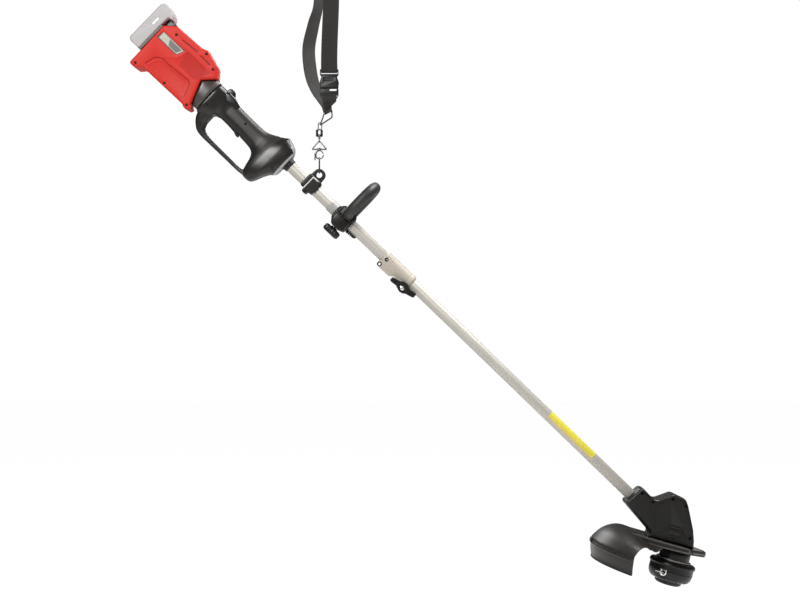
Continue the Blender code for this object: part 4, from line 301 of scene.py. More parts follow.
# One dictionary of finishes; the CAD nodes take them by name below
dull = {"IOR": 1.45, "Specular IOR Level": 0.38}
finishes = {
    "red": redShell("redShell"),
    "pale": plastic("palePack", (0.43, 0.415, 0.41), 0.5, 0.15, 0.04, {"Specular IOR Level": 0.15}),
    # a white that stands in for light: the battery slot's painted highlight and the clamp gap's painted light
    "white": plastic("paintedLightWhite", (0.86, 0.85, 0.84), 0.3, 0.3, 0.03),
    "black": plastic("blackPlastic", (0.01, 0.009, 0.0082), 0.3, 0.5, 0.2, dull),
    "gloss": plastic("glossyBlack", (0.006, 0.0056, 0.0054), 0.2, 0.1, 0.2, dull),
    "satin": plastic("satinBlack", (0.055, 0.048, 0.042), 0.3, 0.5, 0.15),
    "grip": plastic("softGrip", (0.012, 0.011, 0.0105), 0.42, 0.7, 0.15, dull),
    "foam": plastic("foamGrip", (0.019, 0.0175, 0.0165), 0.5, 1.0, 0.25),
    "head": plastic("headPlastic", (0.0078, 0.0068, 0.006), 0.37, 0.7, 0.18, dull),
    "guard": plastic("guardPlastic", (0.0185, 0.0158, 0.0135), 0.34, 0.6, 0.18, dull),
    # the guard's tongue, a lighter grey than the rest of the guard
    "tongue": plastic("lighterGuardTongue", (0.13, 0.122, 0.115), 0.4, 0.5, 0.18),
    "rib": plastic("guardRib", (0.06, 0.054, 0.047), 0.34, 0.4, 0.18),
    "spool": plastic("spoolPlastic", (0.006, 0.0054, 0.0048), 0.32, 0.5, 0.18, dull),
    "sleeve": plastic("sleevePaint", (0.43, 0.385, 0.325), 0.42, 0.12, 0.07, dull),
    "spacer": plastic("spacerSleeve", (0.33, 0.32, 0.3), 0.42, 0.4, 0.08),
    "handle": handleSkin("handlePlastic"),
    "collar": plastic("collarRing", (0.24, 0.232, 0.222), 0.34, 0.4, 0.1),
    "eyelet": metal("eyeletSteel", (0.86, 0.85, 0.83), 0.28),
    "plate": plateFace("ratingPlate"),
    "screw": metal("darkScrew", (0.03, 0.029, 0.028), 0.5),
    "line": plastic("nylonLine", (0.62, 0.62, 0.58), 0.4, 0.3, 0.08),
    "chrome": metal("chromedWire", (0.15, 0.143, 0.138), 0.3),
    "steel": metal("plainSteel", (0.56, 0.55, 0.54), 0.3),
    "controller": metal("castMetal", (0.5, 0.5, 0.5), 0.42),
    "copper": metal("winding", (0.6, 0.28, 0.12), 0.4, (1, 1, 0.1)),
    "tube": tubePaint("tubePaint", False),
    "lowerTube": tubePaint("lowerTubePaint", True),
    "web": webWeave("webbingWeave"),
}
nodesOf = {
    "red": "housing_right housing_left",
    "controller": "controller",
    "black": "battery_rail battery_latch trigger_switch trigger lock_off_button harness_clamp clamp_wing "
             "loop_bracket loop_knob cable_clip buckle_socket buckle_plug buckle_prong_left "
             "buckle_prong_right",
    "pale": "battery_cover battery_base",
    "steel": "battery_cells trigger_pin clamp_screw coupler_button loop_bolt line_cutter rotor "
             "lower_bearing spindle eyelet_1 eyelet_2",
    "satin": "neck_collar handle_right handle_left",
    "grip": "tube_ferrule loop_handle",
    "tube": "upper_tube",
    "spacer": "tube_spacer",
    "sleeve": "coupler_sleeve",
    "lowerTube": "lower_tube",
    "head": "head_right head_left",
    "guard": "guard guard_skirt skirt_clip",
    "copper": "motor_stator",
    "spool": "spool_cover spool_cap bump_knob line_spool",
    "line": "line_end_1 line_end_2",
    "chrome": "strap_ring swivel_frame swivel_pin triangle_link snap_hook hook_link snap_gate",
    "web": "strap_webbing",
}
for finish, names in nodesOf.items():
    for name in names.split():
        nodes[name].data.materials.clear()
        nodes[name].data.materials.append(finishes[finish])
print("finishes on", len(nodes), "nodes")


# Meshes

def shown(name, mesh, material, body, stands=(), angle=32):
    mesh.shade_smooth()
    mesh.set_sharp_from_angle(angle=math.radians(angle))
    mesh.materials.append(finishes[material])
    mesh.name = name
    piece = bpy.data.objects.new(name, mesh)
    bpy.context.collection.objects.link(piece)
    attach(piece, body)
    if stands:
        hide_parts(*stands)
    return piece


# A closed skin over rings of points: faces join ring i to ring i + 1 and point j to point j + 1
def skin(rings, loop=False, uv=None):
    rings = np.asarray(rings, dtype=float)
    rows, cols = rings.shape[:2]
    index = np.arange(rows * cols).reshape(rows, cols)
    one = index if loop else index[:-1]
    two = np.roll(index, -1, 0) if loop else index[1:]
    quads = np.stack([one, np.roll(one, -1, 1), np.roll(two, -1, 1), two], -1).reshape(-1, 4)
    points = rings.reshape(-1, 3)
    corner = points[quads]
    volume = np.einsum("ij,ij->i", corner[:, 0] - points[0], np.cross(corner[:, 1] - points[0],
                                                                  corner[:, 2] - points[0])).sum()
    if volume < 0:
        quads = quads[:, ::-1]
    faces = quads.tolist()
    if not loop:
        ends = [index[0].tolist(), index[-1].tolist()]
        ends = [ends[0][::-1], ends[1]] if volume > 0 else [ends[0], ends[1][::-1]]
        faces += ends
    mesh = bpy.data.meshes.new("skin")
    mesh.from_pydata(points.tolist(), [], faces)
    if uv is not None:
        layer = mesh.uv_layers.new(name="cloth")
        corners = np.empty(len(mesh.loops), dtype=np.int32)
        mesh.loops.foreach_get("vertex_index", corners)
        layer.data.foreach_set("uv", np.asarray(uv, dtype=np.float32).reshape(-1, 2)[corners].ravel())
    mesh.update()
    return mesh


def moved(points, matrix):
    turn = np.array(matrix.to_3x3())
    return np.asarray(points, dtype=float) @ turn.T + np.array(matrix.translation)


# A curve through the given points, Catmull-Rom:
# p = p1 + t (p2 - p0) / 2 + t^2 (2 p0 - 5 p1 + 4 p2 - p3) / 2 + t^3 (3 p1 - p0 - 3 p2 + p3) / 2
def flowing(points, steps):
    p = np.asarray(points, dtype=float)
    p = np.vstack([p[:1], p, p[-1:]])
    t = (np.arange(steps) / steps)[None, :, None]
    p0, p1, p2, p3 = (p[i:len(p) - 3 + i, None, :] for i in range(4))
    curve = p1 + (p2 - p0) * t / 2 + (2 * p0 - 5 * p1 + 4 * p2 - p3) * t ** 2 / 2
    curve = curve + (3 * p1 - p0 - 3 * p2 + p3) * t ** 3 / 2
    return np.vstack([curve.reshape(-1, p.shape[1]), p[-1:]])


# Webbing: the CAD model's route, smoothed, with a rounded section; the ring gathers it by 8 mm
strap = {"width": 0.038, "gather": 0.008, "half": 0.0009, "bar": 0.002, "ring": 0.0017, "gap": 0.0003}
ringBar = Vector((0.0197, 0.0, -0.5165))
barWay = Vector((0.43, 0.83, 0.34)).normalized()


def outward(turn):  # level, turned from the x axis
    return Vector((math.cos(turn), math.sin(turn), 0))


# An arc of a circle: centre + radius (across cos a + up sin a)
def wrapped(centre, across, up, radius, start, end, steps=8):
    turns = [math.radians(start + (end - start) * k / steps) for k in range(steps + 1)]
    return [centre + (across * math.cos(a) + up * math.sin(a)) * radius for a in turns]


def strapRoute():
    level, upright, near, far = Vector((1, 0, 0)), Vector((0, 0, 1)), Vector((0, -1, 0)), Vector((0, 1, 0))
    fold = strap["bar"] * 1.45 + strap["gap"] + strap["half"]
    topBar, lowBar = Vector((0.0237, -0.015, -0.424)), Vector((0.0237, -0.015, -0.4845))
    ringFold = strap["ring"] + 2 * strap["gap"] + strap["half"]
    side = barWay.cross(upright).normalized()
    rise = side.cross(barWay).normalized()
    route = [(topBar + far * fold + upright * height, level) for height in (0.016, 0.006)]
    route += [(p, level) for p in wrapped(topBar, far, upright, fold, 0, -180)]
    free = [
        (*(topBar + near * fold + upright * 0.018), 4), (0.0247, -0.022, -0.36, 10),
        (0.0288, -0.028, -0.2563, 14), (0.0284, -0.032, -0.16, 10), (0.02, -0.032, -0.075, 4),
        (0.009, -0.024, -0.019, 0), (0.0025, -0.012, -0.0045, 0), (0.0, 0.0, -0.0012, 0),
        (-0.002, 0.012, -0.0045, 0), (-0.0035, 0.024, -0.019, 0), (-0.0068, 0.034, -0.08, 12),
        (-0.0038, 0.04, -0.165, 42), (-0.0043, 0.042, -0.2563, 56), (-0.016, 0.04, -0.3076, 48),
        (-0.0262, 0.034, -0.36, 42), (-0.024, 0.026, -0.405, 38), (-0.016, 0.018, -0.445, 40),
        (-0.001, 0.011, -0.483, 52),
    ]
    for x, y, z, yaw in flowing(free, 10):
        turn = math.radians(yaw)
        route.append((Vector((x, y, z)), outward(turn)))
    route.append((ringBar - side * ringFold + rise * 0.011, barWay))
    route += [(p, barWay) for p in wrapped(ringBar, side, rise, ringFold, 180, 360)]
    foot, leave = lowBar + near * fold, ringBar + side * ringFold + rise * 0.007
    below = foot - upright * 0.0105
    route.append((leave, barWay))
    route.append((leave.lerp(below, 0.5) + near * 0.001, barWay.lerp(level, 0.45).normalized()))
    route.append((below, barWay.lerp(level, 0.9).normalized()))
    route.append((foot - upright * 0.005, level))
    route += [(p, level) for p in wrapped(lowBar, near, upright, fold, 0, 180)]
    route.append((lowBar + far * fold - upright * 0.01, level))
    return route


# Each ring is middle + way u w/2 + flat h t, where h falls to zero as the root of 1 - e^2 at the edges
def makeWebbing():
    route = strapRoute()
    middle = np.array([p for p, way in route])
    way = np.array([w for p, w in route])
    ahead = np.gradient(middle, axis=0)
    ahead /= np.linalg.norm(ahead, axis=1)[:, None]
    way -= ahead * np.einsum("ij,ij->i", way, ahead)[:, None]
    way /= np.linalg.norm(way, axis=1)[:, None]
    flat = np.cross(ahead, way)
    run = np.concatenate([[0], np.cumsum(np.linalg.norm(np.diff(middle, axis=0), axis=1))])
    low = np.clip((-0.462 - middle[:, 2]) / 0.045, 0, 1)
    near = np.clip((0.03 - np.abs(middle[:, 0] - ringBar.x)) / 0.01, 0, 1)
    width = strap["width"] - strap["gather"] * low * near
    steps = 24
    across = np.linspace(-1, 1, steps)
    edge = np.sqrt(np.clip(1 - (np.clip(np.abs(across) - 0.955, 0, 1) / 0.045) ** 2, 0, 1))
    ring = np.concatenate([np.stack([across, edge], 1), np.stack([across, -edge], 1)[::-1]])
    u, h = ring[:, 0], ring[:, 1]
    rings = (middle[:, None] + way[:, None] * (u[None, :, None] * width[:, None, None] / 2)
             + flat[:, None] * (h[None, :, None] * strap["half"]))
    uv = np.stack(np.broadcast_arrays(u[None] * (strap["width"] / 2), run[:, None]), -1)
    mesh = skin(rings, uv=uv)
    piece = shown("webbing", mesh, "web", "harness", ["strap_webbing"], 50)
    print("webbing", round(float(run[-1]), 3), "m")


makeWebbing()


# Outlines with rounded corners: corners are (a, b, radius), and an inset keeps each edge parallel
def inset(corners, depth):
    result = []
    for i, (a, b, radius) in enumerate(corners):
        back, ahead = Vector(corners[i - 1][:2]), Vector(corners[(i + 1) % len(corners)][:2])
        here = Vector((a, b))
        e0, e1 = (here - back).normalized(), (ahead - here).normalized()
        n0, n1 = Vector((-e0.y, e0.x)), Vector((-e1.y, e1.x))
        shift = (n0 + n1) * (depth / max(1 + n0.dot(n1), 0.3))
        convex = e0.x * e1.y - e0.y * e1.x > 0
        result.append((a + shift.x, b + shift.y, max(radius - depth if convex else radius + depth, 0.0002)))
    return result


def turnedRight(corners):
    area = sum(a[0] * b[1] - b[0] * a[1] for a, b in zip(corners, corners[1:] + corners[:1]))
    return corners if area > 0 else corners[::-1]


# Each corner's arc: centre + radius (cos t, sin t), between the points where it leaves the two edges
def rounded(corners, steps):
    points = []
    for i, (a, b, radius) in enumerate(corners):
        here = Vector((a, b))
        back = Vector(corners[i - 1][:2]) - here
        ahead = Vector(corners[(i + 1) % len(corners)][:2]) - here
        half = back.angle(ahead) / 2
        if half > math.radians(88):
            points += [here] * (steps + 1)
            continue
        reach = min(radius / math.tan(half), back.length * 0.49, ahead.length * 0.49)
        begin, end = here + back.normalized() * reach, here + ahead.normalized() * reach
        real = reach * math.tan(half)
        centre = here + (back.normalized() + ahead.normalized()).normalized() * (real / math.sin(half))
        a0 = math.atan2(*(begin - centre).yx)
        sweep = (math.atan2(*(end - centre).yx) - a0 + math.pi) % (2 * math.pi) - math.pi
        turns = [a0 + sweep * k / steps for k in range(steps + 1)]
        points += [centre + Vector((math.cos(t), math.sin(t))) * real for t in turns]
    return np.array(points)


# An outline carried along its third axis: levels are (height, inset), plane names the outline's two axes
def crown(corners, levels, plane="XZ", steps=6):
    corners = turnedRight(corners)
    rings = []
    for height, depth in levels:
        flat = rounded(inset(corners, depth), steps)
        level = np.full(len(flat), height)
        columns = {"XZ": (flat[:, 0], level, flat[:, 1]), "XY": (flat[:, 0], flat[:, 1], level),
                   "YZ": (level, flat[:, 0], flat[:, 1])}[plane]
        rings.append(np.stack(columns, 1))
    return np.array(rings)


# A quarter round from the outline's edge to its face: inset r(1 - sin t), height h - r(1 - cos t)
def edgeRound(height, radius, steps=5):
    turns = [math.pi / 2 * k / steps for k in range(steps + 1)]
    return [(height - radius * (1 - math.cos(math.pi / 2 - t)), radius * (1 - math.sin(math.pi / 2 - t)))
            for t in turns]


# An outline with both of its faces rounded off by edgeRound
def slab(corners, low, high, radius, steps=6):
    top = edgeRound(high, radius)
    bottom = [(low + high - h, d) for h, d in top[::-1]]
    return crown(corners, bottom + top, steps=steps)


def boxed(a0, b0, a1, b1, radius=0.001):
    return [(a0, b0, radius), (a1, b0, radius), (a1, b1, radius), (a0, b1, radius)]


# Angles round a ring, half a step off the axis
def around(sides):
    return 2 * np.pi * (np.arange(sides) + 0.5) / sides


# sign(v) |v|^p, which turns a circle's cosine and sine into a superellipse's
def powered(values, power):
    return np.sign(values) * np.abs(values) ** power


# Turned rings: (r cos t, r sin t, height) about the given axis
def turnedRings(profile, axis="Z", centre=(0, 0, 0), sides=64):
    t = around(sides)
    rings = []
    for radius, along in profile:
        c, s, a = radius * np.cos(t), radius * np.sin(t), np.full(sides, along)
        rings.append(np.stack({"X": (a, c, s), "Y": (s, a, c), "Z": (c, s, a)}[axis], 1) + np.array(centre))
    return np.array(rings)


# A plain cylinder of two rings
def rod(radius, low, high, axis="Z", centre=(0, 0, 0), sides=64):
    return turnedRings([(radius, low), (radius, high)], axis, centre, sides)


# Round rings along a path, each square to it and turned as little as possible from the last
def tubeRings(path, radius, sides=20, closed=False, across=None):
    path = np.asarray(path, dtype=float)
    count = len(path)
    radius = np.broadcast_to(radius, (count,))
    side = np.array(across if across else (0.0, 1.0, 0.0), dtype=float)
    rings = []
    t = 2 * np.pi * np.arange(sides) / sides
    for i in range(count):
        before = path[i - 1] if closed or i else path[i]
        after = path[(i + 1) % count] if closed or i < count - 1 else path[i]
        ahead = (after - before) / np.linalg.norm(after - before)
        side = side - ahead * side.dot(ahead)
        side /= np.linalg.norm(side)
        other = np.cross(ahead, side)
        rings.append(path[i] + radius[i] * (np.cos(t)[:, None] * side + np.sin(t)[:, None] * other))
    return np.array(rings)


# Several meshes in one, each kept whole
def joined(meshes):
    work = bmesh.new()
    for mesh in meshes:
        work.from_mesh(mesh)
        if mesh.users == 0:
            bpy.data.meshes.remove(mesh)
    result = bpy.data.meshes.new("joined")
    work.to_mesh(result)
    work.free()
    return result


def modified(mesh, steps):
    holder = bpy.data.objects.new("holder", mesh)
    bpy.context.collection.objects.link(holder)
    for kind, settings in steps:
        modifier = holder.modifiers.new(kind.lower(), kind)
        for key, value in settings.items():
            setattr(modifier, key, value)
    depsgraph = bpy.context.evaluated_depsgraph_get()
    result = bpy.data.meshes.new_from_object(holder.evaluated_get(depsgraph))
    bpy.data.objects.remove(holder)
    return result


# Closed skins melted into one, with every edge rounded by about the voxel's size
def melted(meshes, voxel, rounds=4):
    return modified(joined(meshes), [
        ("REMESH", {"mode": "VOXEL", "voxel_size": voxel, "adaptivity": 0.0}),
        ("SMOOTH", {"factor": 0.5, "iterations": rounds}),
    ])


# A solid less its cutters: an exact Boolean difference, so the solid must not overlap itself
def carved(mesh, cutters):
    holders = []
    steps = []
    for cutter in cutters:
        holder = bpy.data.objects.new("cutter", cutter)
        bpy.context.collection.objects.link(holder)
        holders.append(holder)
        steps.append(("BOOLEAN", {"operation": "DIFFERENCE", "solver": "EXACT", "object": holder}))
    result = modified(mesh, steps)
    for holder in holders:
        bpy.data.objects.remove(holder)
    return result


def shaftSkin(rings, loop=False):
    return skin(moved(rings, shaftPlace), loop)


def headSkin(rings):
    return skin(moved(rings, headPlace))


def spinSkin(rings, loop=False):
    return skin(moved(rings, spinPlace), loop)


# Tubes: a hollow profile turned about the shaft; the upper one has the locating button's hole
tubes = {"radius": 0.013, "wall": 0.0013, "bore": 0.0133, "upper": (-0.155, 0.2887),
         "lower": (0.2893, 1.083)}
buttonSpot = (couplerStart + 0.009, 0, -0.001)


def makeTubes():
    outer, wall = tubes["radius"], tubes["wall"]
    for name, body, finish in (("upper", "tool", "tube"), ("lower", "lower_shaft", "lowerTube")):
        low, high = tubes[name]
        profile = [(outer - wall, low), (outer - 0.0003, low), (outer, low + 0.0004),
                   (outer, high - 0.0004), (outer - 0.0003, high), (outer - wall, high)]
        mesh = shaftSkin(turnedRings(profile, "X", sides=96), True)
        if name == "upper":
            hole = rod(0.0047, -0.03, -0.004, "Y", buttonSpot, 32)
            mesh = carved(mesh, [shaftSkin(hole)])
        shown(name + "Tube", mesh, finish, body, [name + "_tube"], 50)


# Rear handle: superellipse sections |y/w|^p + |z/h|^p = 1 along the shaft, and the bar below the fingers
handle = {"half": 0.0185, "barHalf": 0.013, "voxel": 0.0011, "rounds": 5, "well": 0.0031, "trigger": 0.0085,
          "button": 0.0115}


def makeHandle():
    w, wide = handle["half"], handle["barHalf"]
    sections = [
        (0.0, 0.0235, -0.058, 0.027, 3.2), (0.004, 0.0252, -0.0605, 0.0285, 3.2),
        (0.016, 0.0255, -0.06, 0.027, 3.0), (0.03, 0.025, -0.056, 0.0235, 2.8),
        (0.04, 0.0235, -0.038, w + 0.0015, 2.6), (0.052, 0.021, -0.0345, w, 2.5),
        (0.07, 0.0182, -0.0335, w, 2.5), (0.108, 0.0172, -0.033, w, 2.5), (0.142, 0.0176, -0.035, w, 2.5),
        (0.156, 0.02, -0.0395, w + 0.001, 2.5), (0.164, 0.0235, -0.052, w + 0.003, 2.5),
        (0.171, 0.027, -0.078, w + 0.0055, 2.6), (0.176, 0.03, -0.09, w + 0.0075, 2.7),
        (0.186, 0.035, -0.0935, 0.029, 2.8), (0.2, 0.0448, -0.0925, 0.031, 2.8),
        (0.208, 0.044, -0.085, 0.0315, 2.9), (0.218, 0.0405, -0.062, 0.031, 2.9),
        (0.226, 0.037, -0.048, 0.03, 3.0), (0.233, 0.03, -0.042, 0.027, 3.0),
        (0.237, 0.023, -0.037, 0.0235, 3.0),
    ]
    sides = 96
    t = around(sides)
    rings = []
    for x, top, low, half, power in flowing(sections, 5):
        y = powered(np.cos(t), 2 / power) * half
        z = (top + low) / 2 + powered(np.sin(t), 2 / power) * (top - low) / 2
        rings.append(np.stack([np.full(sides, handleRear + x), y, z], 1))
    grip = shaftSkin(rings)
    bar = [
        (0.0195, -0.045, 0.018, 0.0215), (0.0215, -0.06, 0.0168, 0.0195), (0.0265, -0.071, 0.0142, 0.0165),
        (0.036, -0.0818, 0.0106, wide + 0.001), (0.05, -0.0868, 0.0076, wide), (0.07, -0.0884, 0.006, wide),
        (0.13, -0.0888, 0.0052, wide), (0.16, -0.089, 0.005, wide + 0.001),
        (0.178, -0.087, 0.0054, wide + 0.004),
    ]
    path = flowing(bar, 6)
    run = np.gradient(path[:, :2], axis=0)
    run /= np.linalg.norm(run, axis=1)[:, None]
    rings = []
    t = around(48)
    for (x, z, high, half), (dx, dz) in zip(path, run):
        y = powered(np.cos(t), 0.7) * half
        u = powered(np.sin(t), 0.7) * high
        rings.append(np.stack([handleRear + x - dz * u, y, z + dx * u], 1))
    lower = shaftSkin(rings)
    wells = [(0.0105, -0.033, 0.0285), (0.029, -0.075, 0.0185), (0.105, -0.002, w), (0.183, -0.085, 0.023),
             (0.222, -0.033, 0.03), (0.22, 0.026, 0.0285)]
    solid = melted([grip, lower], handle["voxel"], handle["rounds"])
    well = handle["well"]
    cutters = [shaftSkin(rod(well, -0.04, -half + 0.0035, "Y",
                                                  (handleRear + x, 0, z), 24))
               for x, z, half in wells]
    room = boxed(handleRear + 0.0478, -0.05, handleRear + 0.1145, -0.01, 0.002)
    cutters.append(shaftSkin(crown(room, [(-handle["trigger"], 0), (handle["trigger"], 0)])))
    room = boxed(handleRear + 0.0195, 0.0045, handleRear + 0.0425, 0.06, 0.002)
    cutters.append(shaftSkin(crown(room, [(-handle["button"], 0), (handle["button"], 0)])))
    bore = tubes["bore"]
    cutters.append(shaftSkin(rod(bore, -0.1553, -0.05, "X", sides=40)))
    mesh = carved(solid, cutters)
    shown("rearHandle", mesh, "handle", "tool", ["handle_right", "handle_left"], 40)
    for k, (x, z, half) in enumerate(wells):
        screw(f"handleScrew{k + 1}", shaftPlace, (handleRear + x, -half + 0.0034, z), "tool")


# A pan-head screw seen from the near side: a turned dome with a crossed recess
def screw(name, place, spot, body, radius=0.0027):
    profile = [(radius * 0.2, 0.0004), (radius, 0.0), (radius, -0.0006), (radius * 0.85, -0.0013),
               (radius * 0.45, -0.0018), (radius * 0.05, -0.0019)]
    rings = turnedRings(profile, "Y", (0, 0, 0), 24)
    disc = skin(moved(rings + np.array(spot), place))
    arm, slot = radius * 0.62, radius * 0.14
    bars = []
    for a, b in ((arm, slot), (slot, arm)):
        bar = slab(boxed(-a, -b, a, b, 0.0001), -0.003, -0.0009, 0.0001) + np.array(spot)
        bars.append(skin(moved(bar, place)))
    mesh = carved(disc, bars)
    return shown(name, mesh, "screw", body, angle=30)


# Red housing: two hollow halves; their half width is rearHalf + (frontHalf - rearHalf) x / run
housing = {"rearHalf": 0.041, "frontHalf": 0.034, "run": 0.1734, "wall": 0.0026, "gap": 0.00015,
           "edge": 0.0052, "slit": 0.0011}


def housingShare(x):
    share = np.clip((x - housingRear) / housing["run"], 0, 1)
    return 1 + (housing["frontHalf"] / housing["rearHalf"] - 1) * share


def taperedRings(rings):
    rings = np.array(rings)
    rings[..., 1] *= housingShare(rings[..., 0])
    return rings


# A cutter for a shallow recess: round fillet at its floor, and a lip that turns over by a quarter circle
def dish(corners, floor, face, soft, side, lean=0.0):
    turns = [math.pi / 2 * k / 4 for k in range(5)]
    levels = [(floor + soft * (1 - math.cos(t)), lean + soft * (1 - math.sin(t))) for t in turns]
    levels += [(face - soft + soft * math.sin(t), -soft * (1 - math.cos(t))) for t in turns[:-1]]
    levels += [(face + soft * 0.05, -soft), (face + 0.02, -soft)]
    return crown(corners, [(side * y, d) for y, d in levels])


# Rings of half a hollow moulding: its inner wall's levels, back to front, then its outer wall's
def hollowHalf(corners, inner, outer, side):
    levels = inner[::-1] + outer
    return crown(corners, [(y * side, d) for y, d in levels])


def makeHousing():
    rear = housingRear
    corners = [
        (0.002, -0.088, 0.0055), (0.0215, -0.0855, 0.006), (0.0335, -0.0727, 0.006),
        (0.153, -0.0706, 0.004), (0.163, -0.0745, 0.0045), (0.175, -0.0715, 0.0045),
        (0.1785, -0.062, 0.003), (0.17, -0.057, 0.003), (0.1495, -0.0006, 0.003), (0.1745, 0.0272, 0.003),
        (0.156, 0.0482, 0.008), (0.114, 0.0606, 0.006), (0.102, 0.055, 0.006), (0.025, 0.0512, 0.007),
        (0.0, 0.0298, 0.005),
    ]
    corners = [(rear + x, z, r) for x, z, r in corners]
    half, wall, edge = housing["rearHalf"], housing["wall"], housing["edge"]
    outer = [(housing["gap"], 0.0), (half - edge, 0.0007)]
    outer += [(half - edge + edge * math.sin(t), 0.0007 + edge * (1 - math.cos(t)))
              for t in (math.pi / 2 * k / 7 for k in range(1, 8))]
    inner = [(housing["gap"], wall), (0.84 * half, wall + 0.0008), (half - wall, wall + 0.0042)]
    panel = [(0.029, -0.064, 0.004), (0.037, -0.035, 0.012), (0.051, -0.025, 0.012), (0.066, -0.0262, 0.01),
             (0.129, -0.02, 0.008), (0.139, -0.026, 0.006), (0.15, -0.056, 0.005), (0.144, -0.0655, 0.004)]
    nested = [(0.04, -0.062, 0.003), (0.045, -0.042, 0.009), (0.056, -0.033, 0.009),
              (0.066, -0.0335, 0.008), (0.124, -0.0275, 0.006), (0.131, -0.032, 0.004),
              (0.139, -0.054, 0.004), (0.135, -0.059, 0.003)]
    step = [(0.076, -0.006, 0.003), (0.088, -0.014, 0.005), (0.14, -0.009, 0.004), (0.144, 0.004, 0.004),
            (0.1415, 0.0255, 0.004), (0.084, 0.0262, 0.004)]
    plate = [(0.0107, 0.02, 0.001), (0.078, 0.0222, 0.001), (0.069, 0.0004, 0.001), (0.008, 0.0, 0.001)]
    panel, nested, step, plate = ([(rear + x, z, r) for x, z, r in outline]
                                  for outline in (panel, nested, step, plate))
    slits = [((0.056, 0.036), (0.1, 0.0398)), ((0.1105, 0.0388), (0.141, 0.0382))]
    screws = [(0.014, -0.077), (0.0376, 0.0351), (0.1174, 0.0512), (0.1529, 0.0362), (0.094, -0.064),
              (0.1655, -0.065)]
    for name, side in (("Right", -1), ("Left", 1)):
        shell = shaftSkin(taperedRings(hollowHalf(corners, inner, outer, side)))
        shape = [dish(panel, half - 0.0014, half, 0.0004, side, lean=0.0024),
                 dish(nested, half - 0.0023, half - 0.0014, 0.0003, side, lean=0.0016),
                 dish(step, half - 0.0013, half, 0.0003, side, lean=0.002)]
        if side < 0:
            shape.append(dish(plate, half - 0.0006, half, 0.0002, side))
        for (x0, z0), (x1, z1) in slits:
            way = Vector((x1 - x0, z1 - z0)).normalized() * 0.0001
            thick = housing["slit"]
            outline = [(rear + x0 + way.y, z0 - thick, 0.001), (rear + x1, z1 - thick, 0.001),
                       (rear + x1, z1 + thick, 0.001), (rear + x0, z0 + thick, 0.001)]
            shape.append(dish(outline, half - 0.0024, half, 0.0002, side))
        cutters = [shaftSkin(taperedRings(rings)) for rings in shape]
        if side < 0:
            for x, z in screws:
                face = half * float(housingShare(np.array(rear + x)))
                profile = [(0.003, -face - 0.01), (0.0042, -face - 0.0004), (0.0033, -face + 0.0005),
                           (0.003, -face + 0.0012), (0.003, -face + 0.002)]
                cutters.append(shaftSkin(turnedRings(profile, "Y", (rear + x, 0, z), 28)))
        mesh = carved(shell, cutters)
        shown("housing" + name, mesh, "red", "tool", ["housing_" + name.lower()], 34)
    for k, (x, z) in enumerate(screws):
        face = half * float(housingShare(np.array(rear + x)))
        screw(f"housingScrew{k + 1}", shaftPlace, (rear + x, -face + 0.0019, z), "tool")
    rings = crown(inset(turnedRight(plate), 0.0006),
                  [(-half + 0.00055, 0.0), (-half + 0.0002, 0.0), (-half + 0.0001, 0.0001)])
    shown("ratingPlate", shaftSkin(taperedRings(rings)), "plate", "tool")


# Battery pack: a rounded slab, a T-shaped channel for the rail, a white pad in a shallow slot as a painted
# highlight, and four marks on its near side
battery = {"half": 0.037, "edge": 0.005, "depth": 0.034, "neck": 0.0204, "wide": 0.0254, "marks": 4,
           "markPitch": 0.0105, "latchHalf": 0.0148}


def makeBattery():
    face = housingRear - 0.0048
    back, half, pitch = face - battery["depth"], battery["half"], battery["markPitch"]
    outline = [(back, -0.048, 0.009), (back, 0.064, 0.012), (back + 0.009, 0.0718, 0.009),
               (face - 0.004, 0.0708, 0.007), (face + 0.005, 0.0635, 0.007), (face + 0.0105, 0.052, 0.002),
               (face + 0.001, 0.0512, 0.001), (face, 0.045, 0.001), (face, -0.048, 0.005)]
    shell = shaftSkin(slab(outline, -half, half, battery["edge"]))
    brightSlot = boxed(-0.5202, 0.015, -0.5162, 0.0345, 0.0015)
    marks = [boxed(-0.529, -0.006 + pitch * k, -0.5268, -0.001 + pitch * k, 0.0008)
             for k in range(battery["marks"])]
    notch = crown(boxed(-0.0115, 0.006, 0.0115, 0.012, 0.001), [(back - 0.01, 0), (back + 0.0012, 0)], "YZ")
    step, tip = face - 0.0026, face - 0.0074
    neck, wide = battery["neck"], battery["wide"]
    channel = [(face + 0.01, -neck, 0.0002), (step, -neck, 0.0002), (step, -wide, 0.0002),
               (tip, -wide, 0.0002), (tip, wide, 0.0002), (step, wide, 0.0002), (step, neck, 0.0002),
               (face + 0.01, neck, 0.0002)]
    cutters = [shaftSkin(dish(brightSlot, half - 0.0008, half, 0.0002, -1)), shaftSkin(notch),
               shaftSkin(crown(channel, [(-0.068, 0), (0.0283, 0)], "XY", 1))]
    cutters += [shaftSkin(dish(mark, half - 0.0006, half, 0.0002, -1)) for mark in marks]
    shown("batteryPack", carved(shell, cutters), "pale", "battery",
          ["battery_cover", "battery_base"], 34)
    # painted highlight: a white pad in the shallow slot stands in for a highlight
    highlightPad = crown(inset(turnedRight(brightSlot), 0.0002),
                [(-half + 0.0008, 0), (-half + 0.0001, 0), (-half, 0.0001)])
    shown("batterySlotHighlight", shaftSkin(highlightPad), "white", "battery")
    latch = [(face + 0.0012, 0.0306, 0.001), (face + 0.0034, 0.0318, 0.001), (face + 0.0236, 0.0496, 0.001),
             (face + 0.024, 0.0524, 0.001), (face + 0.0112, 0.0498, 0.002), (face + 0.0012, 0.0498, 0.002)]
    half = battery["latchHalf"]
    mesh = shaftSkin(slab(latch, -half, half, 0.001))
    shown("batteryLatch", mesh, "black", "latch", ["battery_latch"])


# Neck between housing and handle: level sections, |x/a|^8 + |y/b|^8 = 1, b falling to both ends like a barrel
neck = {"half": 0.0299, "bulge": 0.52, "power": 2.4, "bore": 0.011, "sides": 72}


